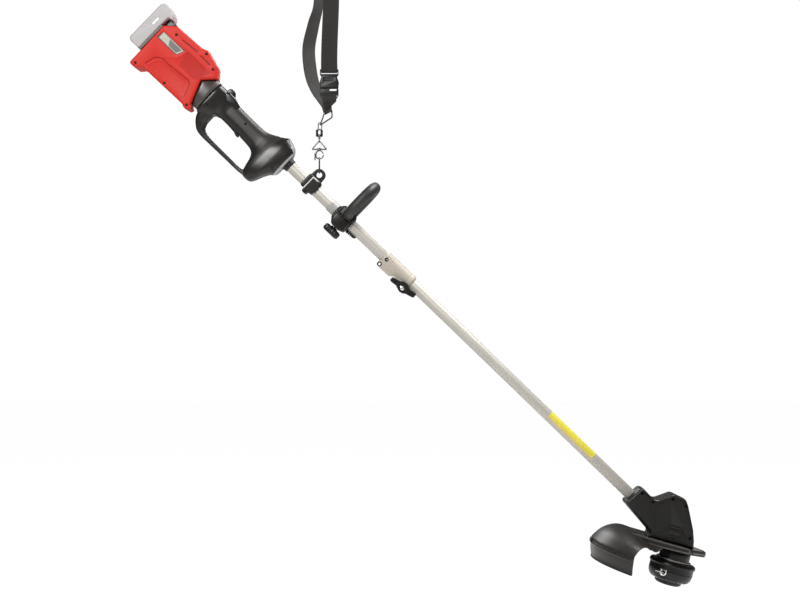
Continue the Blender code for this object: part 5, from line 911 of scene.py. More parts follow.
def makeNeck():
    front = handleRear - 0.0004
    levels = [(-0.0568, -0.3268), (-0.0555, -0.3274), (-0.0006, -0.348), (0.0262, -0.3226)]
    heights = np.concatenate([[-0.0566], np.linspace(-0.056, 0.0252, 46), [0.0256]])
    rear = np.interp(heights, [z for z, x in levels], [x for z, x in levels])
    share = (heights + 0.0156) / 0.0425
    b = neck["half"] * np.clip(1 - np.abs(share) ** neck["power"] * neck["bulge"], 0.1, 1)
    b[0] -= 0.0012
    b[-1] -= 0.0012
    sides = neck["sides"]
    t = around(sides)
    cx, cy = powered(np.cos(t), 0.25), powered(np.sin(t), 0.25)
    rings = np.stack([(rear + front)[:, None] / 2 + (front - rear)[:, None] / 2 * cx, b[:, None] * cy,
                      np.broadcast_to(heights[:, None], (len(heights), sides))], -1)
    shell = shaftSkin(rings)
    bore = shaftSkin(rod(neck["bore"], -0.4, -0.28, "X", (0, 0, -0.008), 32))
    mesh = carved(shell, [bore])
    shown("neckCollar", mesh, "satin", "tool", ["neck_collar"], 40)


# Trigger with a hooked tip, its pin, and the lock-off button in its glossy pod, all rounded slabs
trigger = {"half": 0.008, "edge": 0.0024, "pin": (0.054, -0.02), "pinRadius": 0.0015, "pinBore": 0.0019}
lockOff = {"half": 0.011, "edge": 0.003, "podHalf": 0.0196, "podEdge": 0.006, "ribs": 4, "ribPitch": 0.0034}


def makeTriggers():
    x = handleRear
    pinSpot = (x + trigger["pin"][0], 0, trigger["pin"][1])
    finger = [(x + 0.0488, -0.0165, 0.003), (x + 0.06, -0.015, 0.003), (x + 0.106, -0.0215, 0.003),
              (x + 0.1112, -0.0285, 0.002), (x + 0.1115, -0.0372, 0.0015), (x + 0.1062, -0.038, 0.003),
              (x + 0.096, -0.0342, 0.012), (x + 0.076, -0.0326, 0.02), (x + 0.05, -0.0325, 0.003)]
    solid = shaftSkin(slab(finger, -trigger["half"], trigger["half"], trigger["edge"]))
    room, pin = trigger["pinBore"], trigger["pinRadius"]
    bore = shaftSkin(rod(room, -0.02, 0.02, "Y", pinSpot, 24))
    mesh = carved(solid, [bore])
    shown("trigger", mesh, "black", "trigger_lever", ["trigger"])
    profile = [(0.0011, -0.0148), (pin, -0.0144), (pin, 0.0144), (0.0011, 0.0148)]
    rings = turnedRings(profile, "Y", pinSpot, 24)
    shown("triggerPin", shaftSkin(rings), "steel", "tool", ["trigger_pin"])
    profile = [(x + 0.0203, 0.0118, 0.001), (x + 0.0417, 0.0118, 0.001), (x + 0.0417, 0.0285, 0.006),
               (x + 0.0365, 0.0352, 0.007), (x + 0.0262, 0.0356, 0.007), (x + 0.0203, 0.031, 0.006)]
    button = shaftSkin(slab(profile, -lockOff["half"], lockOff["half"], lockOff["edge"]))
    ribs = [shaftSkin(rod(0.0007, -0.0125, 0.0125, "Y",
                                         (x + 0.024 + k * lockOff["ribPitch"], 0, 0.0358), 10))
            for k in range(lockOff["ribs"])]
    shown("lockOffButton", carved(button, ribs), "gloss", "lock_off", ["lock_off_button"])
    pod = [(x + 0.0155, -0.004, 0.004), (x + 0.017, 0.012, 0.006), (x + 0.0225, 0.0225, 0.006),
           (x + 0.031, 0.0262, 0.006), (x + 0.048, 0.025, 0.005), (x + 0.069, 0.018, 0.004),
           (x + 0.064, 0.007, 0.006), (x + 0.043, 0.002, 0.008)]
    shell = shaftSkin(slab(pod, -lockOff["podHalf"], lockOff["podHalf"], lockOff["podEdge"]))
    hole = crown(boxed(x + 0.0195, -0.02, x + 0.0425, 0.06, 0.002),
                 [(-handle["button"], 0), (handle["button"], 0)])
    shown("lockOffPod", carved(shell, [shaftSkin(hole)]), "gloss", "tool")


# Ferrule and spacer round the upper tube: stepped profiles turned about it
collars = {"ferrule": -0.0747, "spacer": (0.063, 0.0823)}


def makeCollars():
    inner, start = tubes["bore"], collars["ferrule"]
    profile = [(inner, start), (0.0163, start), (0.0167, start + 0.0004), (0.0167, start + 0.0036),
               (0.0163, start + 0.004), (0.0157, start + 0.0044), (0.0157, start + 0.0054),
               (0.015, start + 0.0057), (0.015, start + 0.0065), (0.0155, start + 0.0068),
               (0.0155, start + 0.01), (0.015, start + 0.0108), (inner, start + 0.0115)]
    mesh = shaftSkin(turnedRings(profile, "X", sides=72), True)
    shown("ferrule", mesh, "grip", "tool", ["tube_ferrule"])
    low, high = collars["spacer"]
    profile = [(inner, low), (0.0145, low), (0.0149, low + 0.0005), (0.0149, high - 0.0005), (0.0145, high),
               (inner, high)]
    mesh = shaftSkin(turnedRings(profile, "X", sides=72), True)
    shown("spacer", mesh, "spacer", "tool", ["tube_spacer"])


# Harness clamp: an arm and a block round the tube, parted by an L-shaped gap, and a flat ear for the hook
clamp = {"half": 0.0185, "earHalf": 0.004, "eye": (-0.003, 0, 0.032), "eyeRadius": 0.0067,
         "screw": (-0.0008, -0.0182), "split": 0.0008}


def makeClamp():
    half, flat, eye, split = clamp["half"], clamp["earHalf"], clamp["eyeRadius"], clamp["split"]
    screwX, screwZ = clamp["screw"]
    block = [(-0.0198, 0.021, 0.004), (-0.0198, -0.01, 0.004), (-0.0172, -0.015, 0.003),
             (-0.0094, -0.015, 0.001), (-0.0082, -0.0205, 0.002), (-0.005, -0.0232, 0.003),
             (0.0045, -0.0232, 0.003), (0.0062, -0.0152, 0.002), (0.0155, -0.0145, 0.003),
             (0.019, -0.004, 0.004), (0.019, 0.012, 0.004), (0.015, 0.0215, 0.004)]
    ear = [(-0.017, 0.046, 0.014), (0.011, 0.046, 0.014), (0.0135, 0.012, 0.002), (-0.019, 0.012, 0.002)]
    solid = melted([shaftSkin(slab(block, -half, half, 0.003)),
                    shaftSkin(slab(ear, -flat, flat, 0.0014, steps=12))], 0.0007, 3)
    gap = [(-0.0098, -0.05, 0.0002), (-0.0066, -0.05, 0.0002), (-0.0066, 0.0172, 0.0004),
           (0.0075, 0.0172, 0.0004), (0.0075, 0.0204, 0.0004), (-0.0098, 0.0204, 0.0008)]
    cutters = [rod(tubes["bore"], -0.05, 0.05, "X", sides=48), rod(eye, -0.05, 0.05, "Y", clamp["eye"], 40),
               crown(gap, [(-0.03, 0), (-0.0046, 0)], steps=2),
               crown(boxed(-0.05, -0.05, 0.05, -0.01, 0.001), [(-split, 0), (split, 0)]),
               rod(0.0034, -0.03, -half + 0.0016, "Y", (screwX, 0, screwZ), 28)]
    mesh = carved(solid, [shaftSkin(rings) for rings in cutters])
    shown("harnessClamp", mesh, "black", "tool", ["harness_clamp"], 34)
    screw("harnessScrew", shaftPlace, (screwX, -half + 0.0012, screwZ), "tool", 0.0029)
    # painted light: a white strip in the L-shaped gap stands in for the bright tube and background seen
    # through it
    gapLight = [(-0.0096, -0.015, 0.0002), (-0.0068, -0.015, 0.0002), (-0.0068, 0.0174, 0.0004),
             (0.0073, 0.0174, 0.0004), (0.0073, 0.0202, 0.0004), (-0.0096, 0.0202, 0.0008)]
    mesh = shaftSkin(slab(gapLight, -0.0166, -0.0142, 0.0002, steps=2))
    shown("clampGapLight", mesh, "white", "tool")


# Loop handle: its middle line is the superellipse |y/a|^2.8 + |z/b|^2.8 = 1 above the tube
loopHandle = {"spread": 0.062, "height": 0.1005, "station": 0.1115, "radius": 0.0127,
              "bracket": (0.0833, 0.1323), "half": 0.0245, "edge": 0.004, "groove": 0.001}


def makeLoopHandle():
    spread, height, station = loopHandle["spread"], loopHandle["height"], loopHandle["station"]
    turn = np.radians(np.linspace(-62, 242, 25))
    middle = height * 0.52
    y = powered(np.cos(turn), 0.72) * spread
    up = powered(np.sin(turn), 0.72)
    z = middle + np.where(up > 0, up * (height - middle), up * (middle - 0.004))
    y[[0, 1, -2, -1]] = 0.015, 0.03, -0.03, -0.015
    z[[0, 1, -2, -1]] = 0.01, 0.0125, 0.0125, 0.01
    path = flowing(np.stack([np.full(25, station), y, z], 1), 5)
    bar = shaftSkin(tubeRings(path, loopHandle["radius"], 40, across=(1, 0, 0)))
    bore = rod(tubes["bore"], 0.0, 0.3, "X", sides=48)
    under = crown(boxed(0.05, -0.05, 0.17, 0.0003, 0.001), [(-0.09, 0), (0.09, 0)])
    mesh = carved(bar, [shaftSkin(bore), shaftSkin(under)])
    shown("loopHandle", mesh, "foam", "front_handle", ["loop_handle"], 40)
    (low, high), half, groove = loopHandle["bracket"], loopHandle["half"], loopHandle["groove"]
    saddle = [(low, 0.0003, 0.001), (high, 0.0003, 0.001), (high, 0.0135, 0.005),
              (high - 0.006, 0.0236, 0.006), (low + 0.01, 0.0246, 0.007), (low, 0.013, 0.006)]
    lower = [(low, -0.0003, 0.001), (low, -0.015, 0.006), (low + 0.011, -0.029, 0.006),
             (0.1, -0.0303, 0.002), (0.117, -0.0303, 0.002), (high - 0.003, -0.0262, 0.007),
             (high, -0.012, 0.006), (high, -0.0003, 0.001)]
    slots = {"Saddle": [(0.0872, 0.003, 0.014), (0.0924, 0.003, 0.0185)],
             "Bracket": [(0.0885, -0.014, -0.003), (0.1262, -0.0195, -0.003)]}
    bolt = rod(0.0033, -0.06, -0.013, "Z", (0.1078, 0, 0), 28)
    for name, outline, stands in (("Saddle", saddle, []), ("Bracket", lower, ["loop_bracket"])):
        solid = shaftSkin(slab(outline, -half, half, loopHandle["edge"]))
        cutters = [shaftSkin(bore), shaftSkin(bolt)]
        for x, start, end in slots[name]:
            rib = boxed(x - groove, start, x + groove, end, 0.0009)
            cutters += [shaftSkin(dish(rib, half - 0.0012, half, 0.0003, side)) for side in (-1, 1)]
        mesh = carved(solid, cutters)
        shown("loop" + name, mesh, "black", "front_handle", stands, 34)


# Knob under the bracket: its rim is r = R - d (1 - cos nt) / 2; the bolt's radius steps in and out as threads
loopKnob = {"centre": (0.1078, 0, 0), "top": -0.0333, "low": -0.0507, "lobes": 18, "dip": 0.0016,
            "sides": 216, "thread": (0.0024, 0.003), "halfPitch": 0.0004, "steps": 78}


def makeLoopKnob():
    centre, top, low = loopKnob["centre"], loopKnob["top"], loopKnob["low"]
    levels = [(top, 0.0086, 0), (top, 0.015, 0), (top - 0.0006, 0.018, 0.3), (top - 0.0022, 0.0206, 0.9),
              (top - 0.0042, 0.0216, 1), (low + 0.0045, 0.0216, 1), (low + 0.0022, 0.0205, 0.9),
              (low + 0.0006, 0.0178, 0.4), (low, 0.015, 0), (low, 0.0085, 0), (low + 0.0012, 0.007, 0)]
    sides, dip, lobes = loopKnob["sides"], loopKnob["dip"], loopKnob["lobes"]
    t = around(sides)
    rings = []
    for height, reach, share in levels:
        r = reach - dip * share * (1 - np.cos(lobes * t)) / 2
        rings.append(np.stack([centre[0] + r * np.cos(t), r * np.sin(t), np.full(sides, height)], 1))
    disc = shaftSkin(rings)
    collar = [(0.0035, top - 0.0005), (0.0088, top - 0.0005), (0.0088, -0.0312), (0.0084, -0.0308),
              (0.0035, -0.0308)]
    hub = shaftSkin(turnedRings(collar, "Z", centre, 36), True)
    hole = shaftSkin(rod(0.0035, low + 0.003, 0.0, "Z", centre, 28))
    mesh = joined([carved(disc, [hole]), hub])
    shown("loopKnob", mesh, "black", "handle_knob", ["loop_knob"], 34)
    root, crest = loopKnob["thread"]
    pitch = loopKnob["halfPitch"]
    thread = [(root if k % 2 else crest, -0.015 - pitch * k) for k in range(loopKnob["steps"])]
    mesh = shaftSkin(turnedRings(thread, "Z", centre, 24))
    shown("loopBolt", mesh, "steel", "front_handle", ["loop_bolt"])
    clip = [(0.1326, -0.0133, 0.0005), (0.1596, -0.0133, 0.0008), (0.16, -0.0158, 0.001),
            (0.1556, -0.0196, 0.002), (0.1326, -0.0219, 0.002)]
    solid = shaftSkin(slab(clip, -0.0062, 0.0062, 0.001))
    notches = [boxed(x, -0.025, x + 0.0011, -0.0178, 0.0004) for x in (0.1385, 0.143, 0.1475)]
    cuts = [shaftSkin(crown(notch, [(-0.02, 0), (0.02, 0)])) for notch in notches]
    mesh = carved(solid, cuts)
    shown("cableClip", mesh, "black", "front_handle", ["cable_clip"])


# Coupler: a split sleeve with a ringed ear, a clamp lug, four half-round grooves, the button and the wing nut
coupler = {"end": 0.3275, "outer": 0.0172, "half": 0.0115, "grooves": 4, "groovePitch": 0.0068,
           "grooveHalf": 0.0011}


def makeCoupler():
    start, end, outer, half = couplerStart, coupler["end"], coupler["outer"], coupler["half"]
    groove = coupler["grooveHalf"]
    profile = [(outer - 0.0024, start), (outer - 0.0008, start + 0.001), (outer, start + 0.0032),
               (outer, end - 0.011), (outer + 0.0005, end - 0.01), (outer + 0.0005, end - 0.004),
               (outer - 0.001, end - 0.0015), (outer - 0.0026, end)]
    ear = [(start - 0.0008, -0.008, 0.002), (start - 0.0023, -0.015, 0.004),
           (start - 0.0023, -0.0255, 0.0057), (start + 0.011, -0.026, 0.004),
           (start + 0.038, -0.0252, 0.006), (start + 0.047, -0.0178, 0.004),
           (start + 0.064, -0.0166, 0.002), (start + 0.064, -0.008, 0.002)]
    lug = [(start + 0.062, -0.008, 0.002), (start + 0.063, -0.027, 0.005), (start + 0.093, -0.0275, 0.006),
           (start + 0.105, -0.0205, 0.005), (start + 0.113, -0.0158, 0.002),
           (start + 0.113, -0.0112, 0.002), (start + 0.09, -0.009, 0.002)]
    solid = melted([
        shaftSkin(turnedRings(profile, "X", sides=96)), shaftSkin(slab(ear, -half, half, 0.0016)),
        shaftSkin(slab(lug, -half, half, 0.0016)),
    ], 0.0007, 3)
    ringPlace = (start + 0.0035, 0, -0.0196)
    lugSpot = (start + 0.081, 0, -0.0235)
    cutters = [rod(tubes["bore"], 0.0, 0.5, "X", sides=48),
               crown(boxed(0.2, -0.05, 0.4, -0.01, 0.001), [(-0.0008, 0), (0.0008, 0)]),
               rod(0.0029, -0.05, 0.05, "Y", ringPlace, 28),
               rod(0.0047, -0.05, -0.011, "Y", buttonSpot, 32), rod(0.0033, -0.05, 0.05, "Y", lugSpot, 24)]
    for height in (-0.0138, -0.017):
        cutters.append(crown(boxed(end - 0.001, height - 0.0005, 0.4, height + 0.0005, 0.0002),
                             [(-0.03, 0), (-0.0098, 0)]))
    for k in range(coupler["grooves"]):
        turns = np.radians(np.linspace(14, 166, 25))
        square = [(outer - 0.0013, -groove), (outer - 0.0013, groove), (outer + 0.004, groove),
                  (outer + 0.004, -groove)]
        at = start + 0.002 + coupler["groovePitch"] * k
        arcs = [[(at + x, r * math.cos(t), r * math.sin(t)) for r, x in square] for t in turns]
        cutters.append(np.array(arcs))
    mesh = carved(solid, [shaftSkin(rings) for rings in cutters])
    shown("couplerSleeve", mesh, "sleeve", "tool", ["coupler_sleeve"], 34)
    for side in (-1, 1):
        profile = [(0.0028, side * 0.0108), (0.0028, side * 0.0124), (0.0034, side * 0.0129),
                   (0.0052, side * 0.0129), (0.0057, side * 0.0124), (0.0057, side * 0.0108)]
        mesh = shaftSkin(turnedRings(profile, "Y", ringPlace, 40), True)
        shown("earRing" + ("Left" if side > 0 else "Right"), mesh, "chrome", "tool")
    profile = [(0.0001, -0.0178), (0.0014, -0.0178), (0.0016, -0.0174), (0.0018, -0.0168),
               (0.0036, -0.0172), (0.004, -0.0178), (0.0043, -0.0176), (0.0043, -0.0136), (0.0001, -0.0136)]
    mesh = shaftSkin(turnedRings(profile, "Y", buttonSpot, 36))
    shown("couplerButton", mesh, "gloss", "pin_button", ["coupler_button"])
    pin = [(0.0001, -0.0184), (0.0012, -0.0184), (0.0015, -0.0181), (0.0015, -0.0176), (0.0001, -0.0176)]
    shown("buttonPin", shaftSkin(turnedRings(pin, "Y", buttonSpot, 24)), "eyelet", "pin_button")
    makeWing(lugSpot, outer)


# Wing nut: a slab of the wing's outline, a turned hub behind it and the screw's head in its well
wing = {"gap": 0.001, "thick": 0.0085, "edge": 0.0022, "ribs": 3, "ribStart": 0.02, "ribPitch": 0.0042}


def makeWing(place, outer):
    x, z = place[0], place[2]
    inner = -outer - wing["gap"]
    face = inner - wing["thick"]
    outline = [(-0.0345, -0.0058, 0.0025), (-0.034, 0.0035, 0.0025), (-0.024, 0.0068, 0.005),
               (-0.014, 0.0092, 0.004), (-0.007, 0.0152, 0.006), (0.002, 0.016, 0.007),
               (0.0095, 0.012, 0.006), (0.016, 0.0112, 0.004), (0.03, 0.0132, 0.003),
               (0.034, 0.0112, 0.002), (0.0342, 0.0015, 0.003), (0.024, -0.002, 0.005),
               (0.015, -0.0042, 0.004), (0.008, -0.0092, 0.006), (0.0, -0.0108, 0.007),
               (-0.009, -0.008, 0.006), (-0.015, -0.0056, 0.004), (-0.028, -0.0074, 0.003)]
    outline = [(x + a, z + b, r) for a, b, r in outline]
    solid = shaftSkin(slab(outline, face, inner, wing["edge"]))
    collar = [(0.0034, inner - 0.0005), (0.0078, inner - 0.0005), (0.0078, -0.0121), (0.0074, -0.0118),
              (0.0034, -0.0118)]
    hub = shaftSkin(turnedRings(collar, "Y", place, 36), True)
    cutters = [rod(0.0034, -0.06, 0.0, "Y", place, 24),
               turnedRings([(0.007, -0.06), (0.0066, face), (0.0062, face + 0.001),
                            (0.0062, face + 0.0045)],
                           "Y", place, 36)]
    for turn in (-1, 1):
        for k in range(wing["ribs"]):
            at = x + turn * (wing["ribStart"] + wing["ribPitch"] * k)
            cutters.append(crown(boxed(at - 0.0007, z - 0.02, at + 0.0007, z + 0.02, 0.0003),
                                 [(face - 0.01, 0), (face + 0.0006, 0)]))
    solid = carved(solid, [shaftSkin(rings) for rings in cutters])
    mesh = joined([solid, hub])
    shown("clampWing", mesh, "black", "wing_knob", ["clamp_wing"], 34)
    bolt = [(0.0029, 0.015), (0.0029, face + 0.0042), (0.0056, face + 0.0042), (0.0056, face + 0.0018),
            (0.005, face + 0.0008), (0.0034, face + 0.0003), (0.0001, face + 0.0001)]
    solid = shaftSkin(turnedRings(bolt, "Y", place, 36))
    arms = []
    for a, b in ((0.0033, 0.0007), (0.0007, 0.0033)):
        bar = boxed(x - a, z - b, x + a, z + b, 0.0002)
        arms.append(shaftSkin(slab(bar, face - 0.003, face + 0.0016, 0.0001)))
    shown("clampScrew", carved(solid, arms), "eyelet", "tool", ["clamp_screw"])


# Chain: bent wires through the strap's fold, the swivel, the hook and the harness eye
chain = {"top": -0.548, "swivelTop": -0.557, "swivelLow": -0.576, "linkBase": -0.6045, "wire": 0.0014,
         "ringWire": 0.0017, "hoop": 0.0092, "linkHalf": 0.0075, "barrel": 0.0054}


# Corners rounded by parabolas: p = s (1 - t)^2 + 2 c t (1 - t) + e t^2
def bent(corners, reach, steps=6):
    path = []
    count = len(corners)
    for i, corner in enumerate(corners):
        corner, back, ahead = Vector(corner), Vector(corners[i - 1]), Vector(corners[(i + 1) % count])
        start = corner + (back - corner).normalized() * reach
        end = corner + (ahead - corner).normalized() * reach
        path += [start * (1 - t) ** 2 + corner * (2 * t * (1 - t)) + end * t * t
                 for t in (k / steps for k in range(steps + 1))]
    return path


def wireLoop(name, corners, reach, radius, body, stands):
    mesh = skin(tubeRings(bent(corners, reach), radius, 20, True), True)
    return shown(name, mesh, "chrome", body, stands, 60)


def makeChain():
    ring = [(0.0115, -0.0158, -0.523), (0.0282, 0.0158, -0.5108), (0.029, 0.0125, -0.5285),
            (0.0015, 0, chain["top"]), (0.0098, -0.014, -0.53)]
    wireLoop("strapRing", ring, 0.003, chain["ringWire"], "ring", ["strap_ring"])
    low, high = chain["swivelLow"], chain["swivelTop"]
    wide, top = chain["barrel"], chain["top"]
    corners = [(-wide, 0, low + 0.0015), (wide, 0, low + 0.0015), (wide, 0, high - 0.0015),
               (-wide, 0, high - 0.0015)]
    bars = [skin(tubeRings(bent(corners, 0.003), 0.0019, 20, True), True)]
    profile = [(0.0021, low + 0.0016), (0.0027, low + 0.0022), (0.0027, high - 0.0022),
               (0.0021, high - 0.0016)]
    barrels = [skin(turnedRings(profile, "Z", (x, 0, 0), 24)) for x in (-wide, wide)]
    shown("swivelBarrels", joined(barrels), "screw", "ring")
    corners = [(-0.003, 0, high - 0.001), (0.005, 0, high - 0.001), (0.0062, 0, top + 0.005),
               (-0.0024, 0, top + 0.0056)]
    bars.append(skin(tubeRings(bent(corners, 0.0034), 0.0013, 20, True), True))
    shown("swivelFrame", joined(bars), "chrome", "ring", ["swivel_frame"], 50)
    head = low + 0.0033
    pin = [(0.0004, head + 0.0034), (0.0026, head + 0.0034), (0.0033, head + 0.0028), (0.0033, head),
           (0.0016, head), (0.0016, low - 0.001), (0.0026, low - 0.0014), (0.003, low - 0.0024),
           (0.0028, low - 0.0046)]
    eye = Vector((0, 0, low - 0.008))
    turns = np.linspace(0, 2 * math.pi, 29)[:-1]
    way = [eye + Vector((0, math.cos(t), math.sin(t))) * 0.004 for t in turns]
    parts = [skin(turnedRings(pin, "Z", sides=28)), skin(tubeRings(way, 0.0011, 16, True, (1, 0, 0)), True)]
    shown("swivelPin", joined(parts), "chrome", "hook", ["swivel_pin"], 50)
    base = chain["linkBase"]
    triangle = [(0, 0, low - 0.0076), (0.0172, 0, base), (-0.0172, 0, base)]
    wireLoop("triangleLink", triangle, 0.0035, chain["ringWire"], "hook", ["triangle_link"])
    middle, reach = Vector((0, 0, base - 0.0125)), chain["hoop"]
    turns = np.radians(np.linspace(92, 356, 53))
    hoop = [middle + Vector((math.cos(t), 0, math.sin(t))) * reach for t in turns]
    thick = 0.0016 + 0.001 * np.exp(-((np.degrees(turns) - 175) / 45) ** 2)
    eyelet = [(0.0017, -0.0042), (0.0036, -0.0042), (0.004, -0.0038), (0.004, 0.0038), (0.0036, 0.0042),
              (0.0017, 0.0042)]
    spur = [(-0.0088, 0, -0.001), (-0.0104, 0, -0.008), (-0.0098, 0, -0.0128)]
    spur = [middle + Vector(spot) for spot in spur]
    parts = [skin(tubeRings(hoop, thick, 20)), skin(turnedRings(eyelet, "X", (0, 0, base), 32), True),
             skin(tubeRings(flowing(spur, 5), 0.0014, 16))]
    shown("snapHook", joined(parts), "chrome", "hook", ["snap_hook"], 50)
    turns = np.radians(np.linspace(12, 72, 15))
    gate = [middle + Vector((math.cos(t), 0, math.sin(t))) * reach for t in turns]
    size = 0.0012 + 0.0005 * np.exp(-((np.degrees(turns) - 66) / 6) ** 2)
    mesh = skin(tubeRings(gate, size, 20))
    shown("snapGate", mesh, "chrome", "gate", ["snap_gate"], 50)
    wire, half = chain["wire"], chain["linkHalf"]
    low, high = -hangDrop, middle.z - reach + 0.0016 + wire + 0.0003
    path = []
    for level, first in ((low + half, 180), (high - half, 0)):
        path += [(0, half * math.cos(t), level + half * math.sin(t))
                 for t in np.radians(np.linspace(first, first + 180, 17))]
    mesh = skin(tubeRings(path, wire, 20, True), True)
    shown("hookLink", mesh, "chrome", "hook", ["hook_link"], 60)


# Buckle: socket and plug with rounded faces, the webbing's slots, the prongs' windows and grip ridges
buckle = {"spot": (0.0237, -0.015), "half": 0.0215, "deep": 0.006, "foot": -0.4885, "split": -0.464,
          "top": -0.42, "slot": 0.0196, "ridges": 3, "ridgePitch": 0.0035}


def makeBuckle():
    (x, y), half, deep = buckle["spot"], buckle["half"], buckle["deep"]
    foot, split, top = buckle["foot"], buckle["split"], buckle["top"]

    def mirrored(edge):
        return [(x - a, b, r) for a, b, r in edge] + [(x + a, b, r) for a, b, r in edge[::-1]]

    def through(outline, low, high):
        return skin(crown(outline, [(low, 0), (high, 0)], steps=4))

    def rebates(low, high):  # they let the webbing lie flush on both faces
        outline = boxed(x - slot, low, x + slot, high, 0.0005)
        ends = ((y - 0.02, y - 0.0015), (y + 0.0015, y + 0.02))
        return [through(outline, a, b) for a, b in ends]

    waist = top - 0.013
    socket = mirrored([(half, top, 0.002), (half, waist, 0.003), (half - 0.0036, waist - 0.0045, 0.003),
                       (half, waist - 0.014, 0.01), (half, split, 0.002)])
    slot, bar = buckle["slot"], top - 0.005
    mouth = boxed(x - 0.0165, split - 0.01, x + 0.0165, split + 0.0225, 0.002)
    cutters = [through(boxed(x - slot, bar - 0.0065, x + slot, bar, 0.001), y - 0.02, y + 0.02)]
    cutters += rebates(bar - 0.001, top + 0.01) + [through(mouth, y - 0.004, y + 0.004)]
    for side in (-1, 1):
        a, b = sorted((x + side * (half + 0.01), x + side * 0.0125))
        window = boxed(a, split + 0.0035, b, split + 0.021, 0.002)
        cutters.append(through(window, y - 0.004, y + 0.004))
    for k in range(buckle["ridges"]):
        level = waist - 0.007 - buckle["ridgePitch"] * k
        ridge = boxed(x - 0.012, level - 0.0006, x + 0.012, level + 0.0006, 0.0005)
        cutters += [skin(dish(ridge, deep - 0.0007, deep, 0.0002, side) + np.array((0, y, 0)))
                    for side in (-1, 1)]
    solid = skin(slab(socket, y - deep, y + deep, 0.0026))
    shown("buckleSocket", carved(solid, cutters), "black", "harness", ["buckle_socket"],
          34)
    edge = split - 0.0003
    plug = mirrored([(0.0055, split + 0.02, 0.0015), (0.0055, edge, 0.001), (half, edge, 0.002),
                     (half, foot + 0.007, 0.004), (half - 0.004, foot, 0.004)])
    solid = skin(slab(plug, y - 0.0036, y + 0.0036, 0.0012))
    body = mirrored([(half, edge, 0.002), (half, split - 0.0125, 0.003),
                     (half - 0.003, split - 0.014, 0.002)])
    block = skin(slab(body, y - deep, y + deep, 0.0022))
    low = foot + 0.005
    window = boxed(x + 0.0004, split - 0.0068, x + 0.0175, split - 0.0012, 0.0024)
    cutters = [through(boxed(x - slot, low, x + slot, low + 0.0026, 0.001), y - 0.02, y + 0.02),
               through(window, y - 0.02, y + 0.02)]
    cutters += rebates(foot - 0.01, low + 0.0005)
    root = carved(solid, cutters)
    block = carved(block, [through(window, y - 0.02, y + 0.02)])
    mesh = joined([root, block])
    shown("bucklePlug", mesh, "black", "harness", ["buckle_plug"], 34)
    for name, side in (("left", -1), ("right", 1)):
        prong = [(0.0095, 0.0045, 0.001), (0.013, 0.0045, 0.001), (half + 0.0006, 0.0075, 0.002),
                 (half + 0.001, 0.014, 0.003), (half - 0.003, 0.0195, 0.002), (0.0095, 0.0195, 0.001)]
        rings = slab([(x + side * a, split + b, r) for a, b, r in prong], y - 0.0034, y + 0.0034, 0.001)
        shown("prong" + name.title(), skin(rings), "black", "prong_" + name,
              ["buckle_prong_" + name], 34)


# Head: two hollow halves over the motor, with vents, screw wells and the tube's socket
head = {"half": 0.035, "wall": 0.0026, "gap": 0.00015, "edge": 0.0062, "line": 0.0006, "lineDepth": 0.0007}


